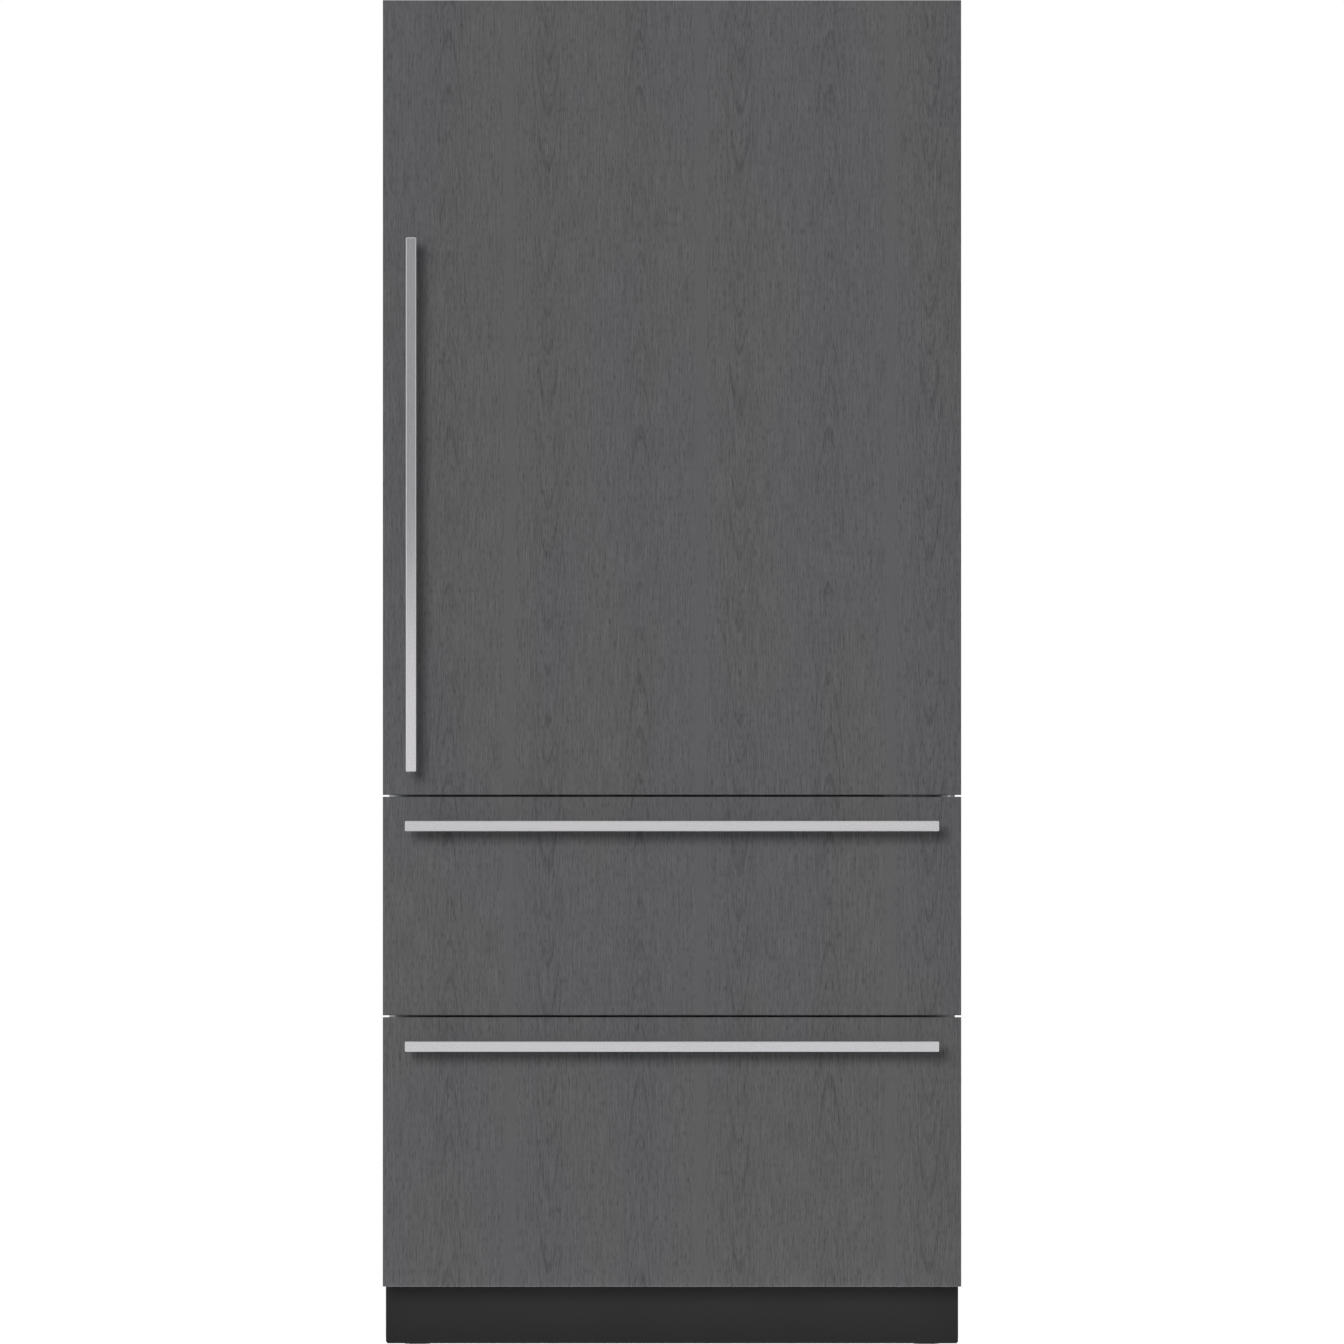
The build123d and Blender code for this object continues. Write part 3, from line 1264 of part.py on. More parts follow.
pieces = {
    "base_frame": base_frame.part,
    "levelling_feet": levelling_feet.part,
    "toe_kick": toe_kick.part,
    "side_panels": side_panels.part,
    "top_panel": top_panel.part,
    "rear_cover": rear_cover.part,
    "front_frame": front_frame.part,
    "drawer_rail": drawer_rail.part,
    "cabinet_foam": cabinet_foam.part,
    "refrigerator_liner": refrigerator_liner,
    "freezer_liner": freezer_liner,
    "machine_tray": machine_tray.part,
    "top_grille": top_grille.part,
    "compressor": compressor.part,
    "compressor_mounts": compressor_mounts.part,
    "condenser_coil": condenser_coil.part,
    "condenser_fan_shroud": condenser_fan_shroud.part,
    "fan_motors": fan_motors.part,
    "control_box": control_box.part,
    "evaporators": evaporators.part,
    "refrigerator_air_cover": refrigerator_air_cover,
    "freezer_air_cover": freezer_air_cover,
    "shelf_tracks": shelf_tracks.part,
    "shelf_frames": shelf_frames,
    "shelf_panes": shelf_panes.part,
    "crisper_cover": crisper_cover.part,
    "light_bars": light_bars.part,
    "control_panel": control_panel.part,
    "hinge_brackets": hinge_brackets.part,
    "slide_outer_members": slide_outer_members.part,
    "left_roller": left_roller,
    "right_roller": right_roller,
    "condenser_fan": condenser_fan,
    "refrigerator_fan": refrigerator_fan,
    "freezer_fan": freezer_fan,
    "left_crisper": left_crisper,
    "right_crisper": right_crisper,
    "door_panel": door_panel,
    "door_pan": door_pan.part,
    "door_liner": door_liner.part,
    "door_gasket": door_gasket,
    "door_handle": door_handle,
    "hinge_bushes": hinge_bushes.part,
    "door_bins": door_bins.part,
    "dairy_box": dairy_box.part,
    "dairy_lid": dairy_lid.part,
    "upper_drawer_panel": upper_drawer_panel,
    "upper_drawer_front": upper_drawer_front,
    "upper_drawer_gasket": upper_drawer_gasket,
    "upper_drawer_handle": upper_drawer_handle,
    "upper_drawer_basket": upper_drawer_basket,
    "upper_slide_inner": upper_slide_inner,
    "upper_slide_middle": upper_slide_middle,
    "lower_drawer_panel": lower_drawer_panel,
    "lower_drawer_front": lower_drawer_front,
    "lower_drawer_gasket": lower_drawer_gasket,
    "lower_drawer_handle": lower_drawer_handle,
    "lower_drawer_basket": lower_drawer_basket,
    "lower_slide_inner": lower_slide_inner,
    "lower_slide_middle": lower_slide_middle,
}

os.makedirs("parts", exist_ok=True)
for name, part in pieces.items():
    part.label = name
    export_step(part, f"parts/{name}.step")
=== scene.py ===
import json
import math

import bmesh
import bpy
from mathutils import Matrix, Vector


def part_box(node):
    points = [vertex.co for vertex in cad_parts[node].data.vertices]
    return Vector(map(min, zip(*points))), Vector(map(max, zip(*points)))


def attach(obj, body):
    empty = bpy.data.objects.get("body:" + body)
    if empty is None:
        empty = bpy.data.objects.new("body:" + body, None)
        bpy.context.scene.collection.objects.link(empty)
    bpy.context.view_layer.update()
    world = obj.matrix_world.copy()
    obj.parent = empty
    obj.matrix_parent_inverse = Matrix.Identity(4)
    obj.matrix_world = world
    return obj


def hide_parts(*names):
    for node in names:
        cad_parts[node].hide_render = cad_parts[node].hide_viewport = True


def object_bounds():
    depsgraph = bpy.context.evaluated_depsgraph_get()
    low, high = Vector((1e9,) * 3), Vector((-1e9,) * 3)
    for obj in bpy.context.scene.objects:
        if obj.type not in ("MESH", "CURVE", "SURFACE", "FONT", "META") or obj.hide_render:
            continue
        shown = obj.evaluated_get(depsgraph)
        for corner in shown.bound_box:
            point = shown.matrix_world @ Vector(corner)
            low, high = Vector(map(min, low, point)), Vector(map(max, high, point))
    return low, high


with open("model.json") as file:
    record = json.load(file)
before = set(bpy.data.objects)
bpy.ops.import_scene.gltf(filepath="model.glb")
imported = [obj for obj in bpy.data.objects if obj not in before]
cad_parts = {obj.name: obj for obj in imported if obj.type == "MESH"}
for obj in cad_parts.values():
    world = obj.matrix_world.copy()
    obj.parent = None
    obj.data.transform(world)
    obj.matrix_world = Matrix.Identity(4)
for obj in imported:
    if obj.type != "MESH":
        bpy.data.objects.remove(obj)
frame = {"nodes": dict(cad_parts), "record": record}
cad_low, cad_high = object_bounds()
scene = bpy.context.scene
cad = frame["nodes"]

# places read from the model; all lengths here are in metres
face_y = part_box("door_panel")[0].y
door_bar_low, door_bar_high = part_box("door_handle")
leaf_back_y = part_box("upper_drawer_front")[1].y

# the photograph looks straight at the front, from far enough away to flatten it
camera_distance = 80.0
camera_height = 0.05
frame_margin = 0.0001
clip_start = 1.0
clip_end = 1000.0

# light: a broad key from the upper left in front, even light all round, and two fills behind
key_travel = (0.28, 1, -0.26)
key_strength = 2.175
key_width = math.radians(20)
even_light = 0.29
right_fill_travel = (-1, -0.35, -0.6)
back_fill_travel = (0.5, -1, -0.5)
fill_strength = 0.9
fill_width = math.radians(50)

# what metal mirrors: white, a little less from straight in front and from the sides behind
mirror_front = 0.77
front_cone = (0.86, 0.96)
side_shade = 0.5
behind_rise = (0.0, 0.25)
side_rise = (0.25, 0.85)

# stage: the floor, the grey card before the long bar, and the white card before the plinth
floor_reach = 20
floor_grey = 0.8
floor_glow = 0.56
card_grey = 0.374
card_half_width = 0.24
card_height = 1.5
card_bottom = 1.16
card_distance = 0.80
bounce_strength = 3.0
bounce_half_width = 0.46
bounce_height = 0.043
bounce_bottom = 0.045
bounce_distance = 0.002

# veneer: three leaves across a panel, each with a peaked figure, a plain band and a hanging one
leaf_width = 0.299
peak_axis = -0.0513
hang_axis = peak_axis + 0.157
plain_band = peak_axis + 0.0955
plain_band_half = 0.010
flame_focus = 0.00363
flame_pitch = 0.078
flame_half = 0.034
flame_unevenness = 0.15
fine_lines = 4
fine_line_weight = 0.45
wander_reach = 0.010

# veneer strokes: width, height, and how many there are to a metre of the board's thickness
grain_stroke = (0.0021, 0.060, 300)
streak_stroke = (0.011, 0.55, 90)
pore_stroke = (0.0014, 0.012, 600)

# veneer tones: two slates, the level of both, how far each pattern moves it, and a painted shade towards the
# right edge
cool_slate = (0.0876, 0.0880, 0.0926)
warm_slate = (0.0890, 0.0890, 0.0902)
slate_level = 1.098
grain_weight = 0.23
grain_weight_in_band = 0.75
streak_weight = 0.05
figure_weight = 0.215
pore_weight = 0.07
pore_weight_in_band = 0.20
# painted shade: the veneer is made darker towards the panel's right edge, where the light falls off
painted_shade_start = 0.40
painted_shade_end = 0.45
painted_shade_weight = 0.08

# rear sheet: a screwed flange, raised field, pressed ribs, vents and the inlet hole
flange = 0.022
press_depth = 0.00085
press_slope = 0.0018
sheet_thickness = 0.0008
rib_centres = (-0.33, -0.11, 0.11, 0.33)
rib_half = 0.032
rib_ends = (0.26, 1.76)
vent_columns = (-0.045, 0.063, 0.171, 0.279)
vent_rows = (1.9786, 2.0026, 2.0266)
vent_half = (0.045, 0.004)
inlet_half = (0.0243, 0.0153)

# how near points are joined, how much wider a test of place is, and how far trims sink in
weld = 0.000001
slack = 0.00001
sunk = 0.0002

# other finishes and small shapes
lamp_pitch = 0.016
leaf_moulding_depth = 0.014
soft_depth = 0.003
corner_turns = [math.radians(angle) for angle in (0, 22.5, 45, 67.5, 90)]
screw_profile = ((0.0, 0.35), (0.40, 0.35), (0.46, 0.95), (0.72, 1.0), (0.92, 0.72), (1.0, 0.30),
                 (1.0, -0.15), (0.0, -0.15))


class Flow:
    """What one socket gives, so that sums in a finish are written as sums."""

    def __init__(self, nodes, socket):
        self.nodes = nodes
        self.socket = socket

    def other(self, name):
        """Another output of the same node."""
        return Flow(self.nodes, self.socket.node.outputs[name])

    def maths(self, operation, *others):
        return self.nodes.add("ShaderNodeMath", {"operation": operation}, [self, *others])

    def __add__(self, other):
        return self.maths("ADD", other)

    __radd__ = __add__

    def __mul__(self, other):
        return self.maths("MULTIPLY", other)

    def __sub__(self, other):
        return self.maths("SUBTRACT", other)

    def __rsub__(self, other):
        return self.nodes.add("ShaderNodeMath", {"operation": "SUBTRACT"}, [other, self])

    def __truediv__(self, other):
        return self.maths("DIVIDE", other)

    def larger(self, other):
        return self.maths("MAXIMUM", other)

    def swing(self, reach):
        """The distance to the nearest multiple of twice the reach."""
        return self.maths("PINGPONG", reach)

    def sine(self):
        return self.maths("SINE")

    def between(self, low, high, first=0.0, last=1.0):
        """Rises smoothly from first to last as the value goes from low to high."""
        ends = {"From Min": low, "From Max": high, "To Min": first, "To Max": last}
        return self.nodes.add("ShaderNodeMapRange", {"interpolation_type": "SMOOTHSTEP"},
                              {"Value": self, **ends})


class Nodes:
    """Adds nodes to a material or a world."""

    def __init__(self, tree):
        self.tree = tree
        tree.nodes.clear()

    def add(self, kind, settings=None, inputs=(), output=0):
        node = self.tree.nodes.new(kind)
        for name, value in (settings or {}).items():
            setattr(node, name, value)
        pairs = inputs.items() if isinstance(inputs, dict) else enumerate(inputs)
        for key, value in pairs:
            self.feed(node.inputs[key], value)
        return Flow(self, node.outputs[output]) if len(node.outputs) else node

    def feed(self, socket, value):
        if isinstance(value, Flow):
            self.tree.links.new(value.socket, socket)
        else:
            socket.default_value = value

    def mix(self, share, first, second):
        """A colour between two colours."""
        colours = [value if isinstance(value, Flow) else (*value, 1) for value in (first, second)]
        return self.add("ShaderNodeMix", {"data_type": "RGBA"}, {0: share, 6: colours[0], 7: colours[1]}, 2)


class Finish(Nodes):
    """A material made of one shader, whose varying sockets are fed at the end."""

    def __init__(self, name, **constants):
        self.material = bpy.data.materials.new(name)
        self.material.use_nodes = True
        super().__init__(self.material.node_tree)
        shader = self.tree.nodes.new("ShaderNodeBsdfPrincipled")
        out = self.tree.nodes.new("ShaderNodeOutputMaterial")
        self.tree.links.new(shader.outputs[0], out.inputs[0])
        self.sockets = shader.inputs
        self.place = self.add("ShaderNodeTexCoord", output="Object")
        for socket, value in constants.items():
            self.sockets[socket.replace("_", " ")].default_value = value

    def axes(self):
        """The place as x, y and z."""
        parts = self.add("ShaderNodeSeparateXYZ", {}, [self.place])
        return parts, parts.other("Y"), parts.other("Z")

    def stretched(self, x, y, z):
        """The place, scaled along each axis, so that a pattern is drawn out."""
        return self.add("ShaderNodeVectorMath", {"operation": "MULTIPLY"}, [self.place, (x, y, z)])

    def joined(self, x, y, z):
        return self.add("ShaderNodeCombineXYZ", {}, [x, y, z])

    def scaled(self, colour, share):
        """A colour times a number."""
        return self.add("ShaderNodeVectorMath", {"operation": "SCALE"}, {0: colour, "Scale": share})

    def noise(self, where, scale=1.0, detail=2.0, rough=0.5, lean=0.0):
        return self.add("ShaderNodeTexNoise", {}, {"Vector": where, "Scale": scale, "Detail": detail,
                                                    "Roughness": rough, "Distortion": lean})

    def cells(self, where, scale, output="Distance"):
        return self.add("ShaderNodeTexVoronoi", {}, {"Vector": where, "Scale": scale}, output)

    def colour(self, value):
        self.feed(self.sockets["Base Color"], value)

    def glow(self, value):
        self.feed(self.sockets["Emission Color"], value)

    def rough(self, value):
        self.feed(self.sockets["Roughness"], value)

    def relief(self, height, depth, strength):
        """Raises the surface by a height from 0 to 1 times the depth."""
        bump = self.add("ShaderNodeBump", {}, {"Height": height, "Distance": depth, "Strength": strength})
        self.feed(self.sockets["Normal"], bump)


def tint(colour, share):
    """A colour made lighter or darker by a share of itself."""
    return tuple(part * (1 + share) for part in colour)


def veneer():
    """Open-pored oak stained slate grey: fine upright grain, peaked figure, faint cooler patches and painted
    shade at the right.
    """
    wood = Finish("slate_oak_veneer", Specular_IOR_Level=0.2)
    x, y, z = wood.axes()
    wander = wood.noise(wood.stretched(7, 7, 1.6), detail=1.0) - 0.5
    across = x + wander * wander_reach

    # growth lines that meet in peaks, in one leaf pointing up and in the next hanging down
    def flames(axis, direction):
        side = (across - axis).swing(leaf_width / 2)
        level = z * direction + side * side / flame_focus
        drift = wood.noise(wood.joined(level * 5, 0.0, axis * 40), detail=1.0) - 0.5
        turns = (level + drift * flame_unevenness) * (2 * math.pi / flame_pitch)
        ridge = turns.sine().between(0.62, 1.0)
        lines = (turns * fine_lines).sine().between(0.20, 1.0) * fine_line_weight
        fade = wood.noise(wood.joined(side * 60, axis * 9, z * 6), detail=1.0).between(0.26, 0.56)
        return ridge.larger(lines) * fade * side.between(flame_half * 0.5, flame_half, 1.0, 0.0)

    # noise drawn out into upright strokes
    def strokes(size, **settings):
        width, height, per_depth = size
        return wood.noise(wood.joined(across / width, y * per_depth, z / height), **settings)

    figure = flames(peak_axis, 1.0).larger(flames(hang_axis, -1.0))
    band = (across - plain_band).swing(leaf_width / 2).between(plain_band_half * 0.5, plain_band_half * 1.2)
    grain = strokes(grain_stroke, detail=2.0, rough=0.62) - 0.5
    streak = strokes(streak_stroke, detail=2.0) - 0.5
    pores = strokes(pore_stroke, detail=1.0).between(0.50, 0.68)
    # painted shade: darker towards the right edge
    painted_shade_right = x.between(painted_shade_start, painted_shade_end)
    shade = (slate_level + grain * (grain_weight + band * grain_weight_in_band) + streak * streak_weight
             - figure * figure_weight - pores * (pore_weight + band * pore_weight_in_band)
             - painted_shade_right * painted_shade_weight)
    patch = wood.noise(wood.stretched(6, 3, 2.0), detail=1.0).between(0.40, 0.60)
    wood.colour(wood.scaled(wood.mix(patch, cool_slate, warm_slate), shade))
    wood.rough(0.60 + pores * 0.12 - grain * 0.10)
    wood.relief(grain * 0.5 + (1 - pores) * 0.5, 0.00010, 0.35)
    return wood.material


def brushed(name, colour, lengthwise, rough=0.28, spread=0.05):
    """Metal with fine lines along x, y or z."""
    metal = Finish(name, Metallic=1.0)
    scales = [2200.0, 2200.0, 2200.0]
    scales["xyz".index(lengthwise)] = 9.0
    lines = metal.noise(metal.stretched(*scales), detail=2.0, rough=0.6)
    long_lines = metal.noise(metal.stretched(*[scale * 0.35 for scale in scales]), detail=1.0)
    cloud = metal.noise(metal.stretched(6, 6, 6), detail=1.0)
    shade = lines * 0.5 + long_lines * 0.3 + cloud * 0.2
    metal.colour(metal.mix(shade, tint(colour, -spread), tint(colour, spread)))
    metal.rough(shade.between(0.2, 0.8, rough - 0.04, rough + 0.05))
    metal.relief(lines, 0.00002, 0.35)
    return metal.material


def spangled(name, colour):
    """Galvanised sheet: large flat crystals that catch the light differently."""
    crystals_per_metre = 1 / 0.012
    zinc = Finish(name, Metallic=0.75)
    crystal = zinc.cells(zinc.place, crystals_per_metre, output="Color")
    grey = zinc.add("ShaderNodeSeparateColor", {}, [crystal])
    feather = zinc.noise(zinc.stretched(500, 500, 120), detail=2.0)
    shade = grey * 0.6 + feather * 0.4
    zinc.colour(zinc.mix(shade, tint(colour, -0.16), tint(colour, 0.10)))
    zinc.rough(shade.between(0.1, 0.9, 0.32, 0.46))
    zinc.relief(feather, 0.00003, 0.3)
    return zinc.material


def painted(name, colour, rough, peel=0.0012, coat=0.0, shine=0.5):
    """Sprayed or powder-coated steel with a fine orange peel and a little dust in the tone."""
    paint = Finish(name, Coat_Weight=coat, Coat_Roughness=0.12, Specular_IOR_Level=shine)
    skin = paint.noise(paint.place, 1 / peel, detail=1.0)
    cloud = paint.noise(paint.place, 9.0, detail=3.0)
    paint.colour(paint.mix(cloud, tint(colour, -0.10), tint(colour, 0.10)))
    paint.rough(cloud * 0.08 + skin * 0.05 + (rough - 0.065))
    paint.relief(skin, 0.00004, 0.35)
    return paint.material


def moulded(name, colour, rough, grain=0.0009, depth=0.00005, soft=0.0):
    """Moulded plastic with a spark-eroded grain and slight shade differences."""
    plastic = Finish(name, Subsurface_Weight=soft, Subsurface_Scale=soft_depth)
    texture = plastic.noise(plastic.place, 1 / grain, detail=2.0)
    cloud = plastic.noise(plastic.place, 5.0, detail=2.0)
    plastic.colour(plastic.mix(cloud, tint(colour, -0.04), tint(colour, 0.03)))
    plastic.rough(texture * 0.10 + cloud * 0.06 + (rough - 0.08))
    plastic.relief(texture, depth, 0.4)
    return plastic.material


def clear(name, colour, rough, index):
    """Clear moulding or glass, tinted where it is thick, with faint wipe marks."""
    glass = Finish(name, Transmission_Weight=1.0, IOR=index, Specular_IOR_Level=0.5)
    wipes = glass.noise(glass.stretched(30, 12, 12), detail=3.0, lean=0.6)
    glass.colour(glass.mix(wipes, tint(colour, -0.02), tint(colour, 0.01)))
    glass.rough(wipes.between(0.35, 0.75, rough, rough + 0.06))
    return glass.material


def rubber(name, colour):
    """Soft moulded sealing strip or rubber mount."""
    seal = Finish(name, Specular_IOR_Level=0.35)
    bloom = seal.noise(seal.place, 60.0, detail=3.0)
    pores = seal.noise(seal.place, 1400.0, detail=1.0)
    seal.colour(seal.mix(bloom, tint(colour, -0.12), tint(colour, 0.14)))
    seal.rough(bloom * 0.12 + 0.56)
    seal.relief(pores, 0.00004, 0.4)
    return seal.material


def rigid_foam():
    """Poured insulation: a mottled skin with small bubbles."""
    foam = Finish("rigid_foam_skin", Specular_IOR_Level=0.25)
    bubbles = foam.cells(foam.place, 260.0)
    cloud = foam.noise(foam.place, 22.0, detail=4.0)
    tone = cloud * 0.7 + bubbles * 0.3
    foam.colour(foam.mix(tone, (0.70, 0.60, 0.38), (0.90, 0.84, 0.66)))
    foam.rough(0.75 + bubbles * 0.15)
    foam.relief(bubbles, 0.0004, 0.5)
    return foam.material


def finned(name, colour):
    """Bare aluminium fins: bright, with the grey bloom that handling leaves."""
    fins = Finish(name, Metallic=1.0)
    ribs = fins.noise(fins.stretched(40, 40, 1600), detail=1.0)
    bloom = fins.noise(fins.place, 35.0, detail=3.0)
    tone = ribs * 0.4 + bloom * 0.6
    fins.colour(fins.mix(tone, tint(colour, -0.22), tint(colour, 0.08)))
    fins.rough(tone.between(0.2, 0.8, 0.30, 0.48))
    fins.relief(ribs, 0.00006, 0.4)
    return fins.material


def lit_lens():
    """Frosted strip with a row of small lamps glowing behind it."""
    lens = Finish("frosted_lens", Emission_Strength=1.1, Subsurface_Weight=0.3, Subsurface_Scale=soft_depth)
    z = lens.axes()[2]
    lamps = z.swing(lamp_pitch / 2).between(0.002, lamp_pitch / 2, 1.0, 0.72)
    frost = lens.noise(lens.place, 900.0, detail=2.0)
    lens.colour(lens.mix(frost, (0.86, 0.87, 0.87), (0.93, 0.93, 0.92)))
    lens.glow(lens.scaled(lens.mix(frost, (0.95, 0.97, 1.0), (1.0, 1.0, 1.0)), lamps))
    lens.rough(frost * 0.12 + 0.38)
    lens.relief(frost, 0.00003, 0.3)
    return lens.material


def leaf_moulding():
    """Insulated drawer leaf: dark painted edges and a pale moulded inner face."""
    leaf = Finish("drawer_leaf", Specular_IOR_Level=0.5)
    seam_y = leaf_back_y - leaf_moulding_depth
    inner = leaf.axes()[1].between(seam_y - 0.0005, seam_y + 0.0005)
    skin = leaf.noise(leaf.place, 700.0, detail=2.0)
    cloud = leaf.noise(leaf.place, 8.0, detail=3.0)
    pale = leaf.mix(cloud, (0.72, 0.73, 0.75), (0.79, 0.80, 0.81))
    dark = leaf.mix(cloud, (0.092, 0.092, 0.096), (0.110, 0.110, 0.115))
    leaf.colour(leaf.mix(inner, dark, pale))
    leaf.rough(cloud * 0.08 + skin * 0.06 + 0.33)
    leaf.relief(skin, 0.00004, 0.4)
    return leaf.material


def ink(name, colour, glow):
    """Screen-printed marks with a light behind them."""
    marks = Finish(name, Emission_Strength=glow)
    speck = marks.noise(marks.place, 3000.0, detail=1.0)
    marks.colour(marks.mix(speck, tint(colour, -0.08), colour))
    marks.glow(marks.mix(speck, tint(colour, -0.15), colour))
    marks.rough(speck * 0.1 + 0.35)
    return marks.material


# one finish for each material slot of the record
finishes = {
    "oak_panel": veneer(),
    "cabinet_steel": painted("cabinet_paint", (0.10, 0.10, 0.105), rough=0.42),
    "face_steel": painted("face_frame_paint", (0.42, 0.43, 0.44), rough=0.40),
    "zinc_steel": spangled("galvanised_sheet", (0.60, 0.61, 0.62)),
    "kick_black": painted("kick_powder_coat", (0.0141, 0.0141, 0.0141), rough=0.55, peel=0.0009, shine=0.1),
    "foam": rigid_foam(),
    "liner_white": moulded("liner_sheet", (0.82, 0.83, 0.84), rough=0.30, grain=0.0025, depth=0.00003),
    "duct_grey": moulded("duct_moulding", (0.66, 0.67, 0.69), rough=0.48),
    "grille_black": moulded("grille_moulding", (0.030, 0.030, 0.032), rough=0.52),
    "gasket_grey": rubber("gasket_vinyl", (0.26, 0.27, 0.28)),
    "black_rubber": rubber("mount_rubber", (0.03, 0.03, 0.03)),
    "compressor_black": painted("compressor_enamel", (0.022, 0.022, 0.024), rough=0.30, peel=0.0016,
                                coat=0.4),
    "fin_aluminium": finned("bare_fins", (0.76, 0.77, 0.78)),
    "trim_aluminium": brushed("anodised_trim", (0.62, 0.63, 0.64), "x", rough=0.34),
    "motor_plastic": moulded("motor_moulding", (0.07, 0.07, 0.08), rough=0.50),
    "fan_plastic": moulded("fan_moulding", (0.13, 0.14, 0.15), rough=0.46),
    "shelf_glass": clear("shelf_glass_plate", (0.95, 0.985, 0.97), rough=0.01, index=1.50),
    "clear_plastic": clear("clear_bin_moulding", (0.985, 0.988, 0.99), rough=0.02, index=1.30),
    "tub_plastic": moulded("tub_moulding", (0.80, 0.83, 0.86), rough=0.36, soft=0.15),
    "light_lens": lit_lens(),
    "control_black": painted("control_face", (0.012, 0.012, 0.014), rough=0.16, peel=0.004, coat=0.6),
    "bush_nylon": moulded("nylon_bush", (0.80, 0.80, 0.74), rough=0.44),
    "core_grey": leaf_moulding(),
    "roller_nylon": moulded("roller_nylon_black", (0.045, 0.045, 0.045), rough=0.50),
}

# the bars are brushed along their length, so each way has a finish of its own; the one steel is painted
# lighter on the upright bar and darker on the level bars, as painted light and shade
bar_steel = (0.665, 0.6530, 0.6755)
# painted light on the upright bar and painted shade on the level bars: the same steel, tinted up and down
painted_light_upright_steel = brushed("satin_bar_upright_painted_light", tint(bar_steel, 0.04), "z", spread=0.02)
painted_shade_level_steel = brushed("satin_bar_level_painted_shade", tint(bar_steel, -0.068), "x", spread=0.02)
own_finishes = {"door_handle": painted_light_upright_steel, "upper_drawer_handle": painted_shade_level_steel,
                "lower_drawer_handle": painted_shade_level_steel}

for row in frame["record"]["subparts"]:
    name = row["node"]
    finish = own_finishes.get(name) or finishes[row["material_slot"]]
    for place in cad[name].material_slots:
        place.material = finish

# finishes of the small pieces that this script adds
screw_steel = brushed("screw_steel", (0.58, 0.58, 0.59), "z", rough=0.30)
black_screw = painted("black_screw_head", (0.03, 0.03, 0.032), rough=0.34, peel=0.0008)
copper = brushed("copper_line", (0.80, 0.42, 0.27), "z", rough=0.32)
trim_metal = brushed("satin_trim", (0.66, 0.66, 0.67), "x", rough=0.26)


def spaced(first, last, count):
    """Evenly spaced places from the first to the last."""
    return [first + step * (last - first) / (count - 1) for step in range(count)]


def finished(name, shape, body, finish, closed=True):
    """Makes a named piece of a shape, which rides on a body."""
    if closed:
        bmesh.ops.recalc_face_normals(shape, faces=shape.faces)
    mesh = bpy.data.meshes.new(name)
    shape.to_mesh(mesh)
    shape.free()
    mesh.materials.append(finish)
    piece = bpy.data.objects.new(name, mesh)
    scene.collection.objects.link(piece)
    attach(piece, body)
    return piece


def eased_block(shape, low, high, edge, segments=2, turn=0.0):
    """Adds a block between two corners with every edge rounded, turned about z."""
    low, high = Vector(low), Vector(high)
    verts = bmesh.ops.create_cube(shape, size=1.0)["verts"]
    bmesh.ops.scale(shape, vec=high - low, verts=verts)
    bmesh.ops.rotate(shape, cent=(0, 0, 0), matrix=Matrix.Rotation(turn, 3, "Z"), verts=verts)
    bmesh.ops.translate(shape, vec=(low + high) / 2, verts=verts)
    edges = list({side for vert in verts for side in vert.link_edges})
    bmesh.ops.bevel(shape, geom=edges, offset=edge, offset_type="OFFSET", affect="EDGES", segments=segments,
                    profile=0.5, material=-1, clamp_overlap=True)


def block(name, low, high, edge, body, finish, segments=2):
    """A named piece that is one eased block."""
    shape = bmesh.new()
    eased_block(shape, low, high, edge, segments)
    finished(name, shape, body, finish)


def turned(shape, profile, spot, facing, steps, ring=False):
    """Adds a turned form: (radius, rise) points stood on a spot and facing a direction."""
    before = set(shape.verts)
    points = [shape.verts.new((radius, 0, rise)) for radius, rise in profile]
    pairs = list(zip(points, points[1:])) + ([(points[-1], points[0])] if ring else [])
    edges = [shape.edges.new(pair) for pair in pairs]
    bmesh.ops.spin(shape, geom=points + edges, cent=(0, 0, 0), axis=(0, 0, 1), dvec=(0, 0, 0),
                   angle=2 * math.pi, steps=steps, use_merge=True)
    verts = [vert for vert in shape.verts if vert not in before]
    bmesh.ops.remove_doubles(shape, verts=verts, dist=weld)
    verts = [vert for vert in shape.verts if vert not in before]
    bmesh.ops.rotate(shape, cent=(0, 0, 0), verts=verts,
                     matrix=Vector((0, 0, 1)).rotation_difference(Vector(facing)).to_matrix())
    bmesh.ops.translate(shape, vec=spot, verts=verts)


def screws(name, finish, spots, facing, radius=0.0042, rise=0.0022, body="cabinet"):
    """Round-headed screws with a driver socket."""
    shape = bmesh.new()
    profile = [(share * radius, part * rise) for share, part in screw_profile]
    for spot in spots:
        turned(shape, profile, spot, facing, steps=12)
    finished(name, shape, body, finish)


def pipe(name, points, radius):
    """A rigid copper pipe along smooth bends."""
    line = bpy.data.curves.new(name, "CURVE")
    line.dimensions = "3D"
    line.bevel_depth = radius
    line.bevel_resolution = 3
    line.resolution_u = 10
    line.use_fill_caps = True
    spline = line.splines.new("NURBS")
    spline.points.add(len(points) - 1)
    for point, place in zip(spline.points, points):
        point.co = (*place, 1)
    spline.order_u = 3
    spline.use_endpoint_u = True
    line.materials.append(copper)
    piece = bpy.data.objects.new(name, line)
    scene.collection.objects.link(piece)
    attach(piece, "cabinet")


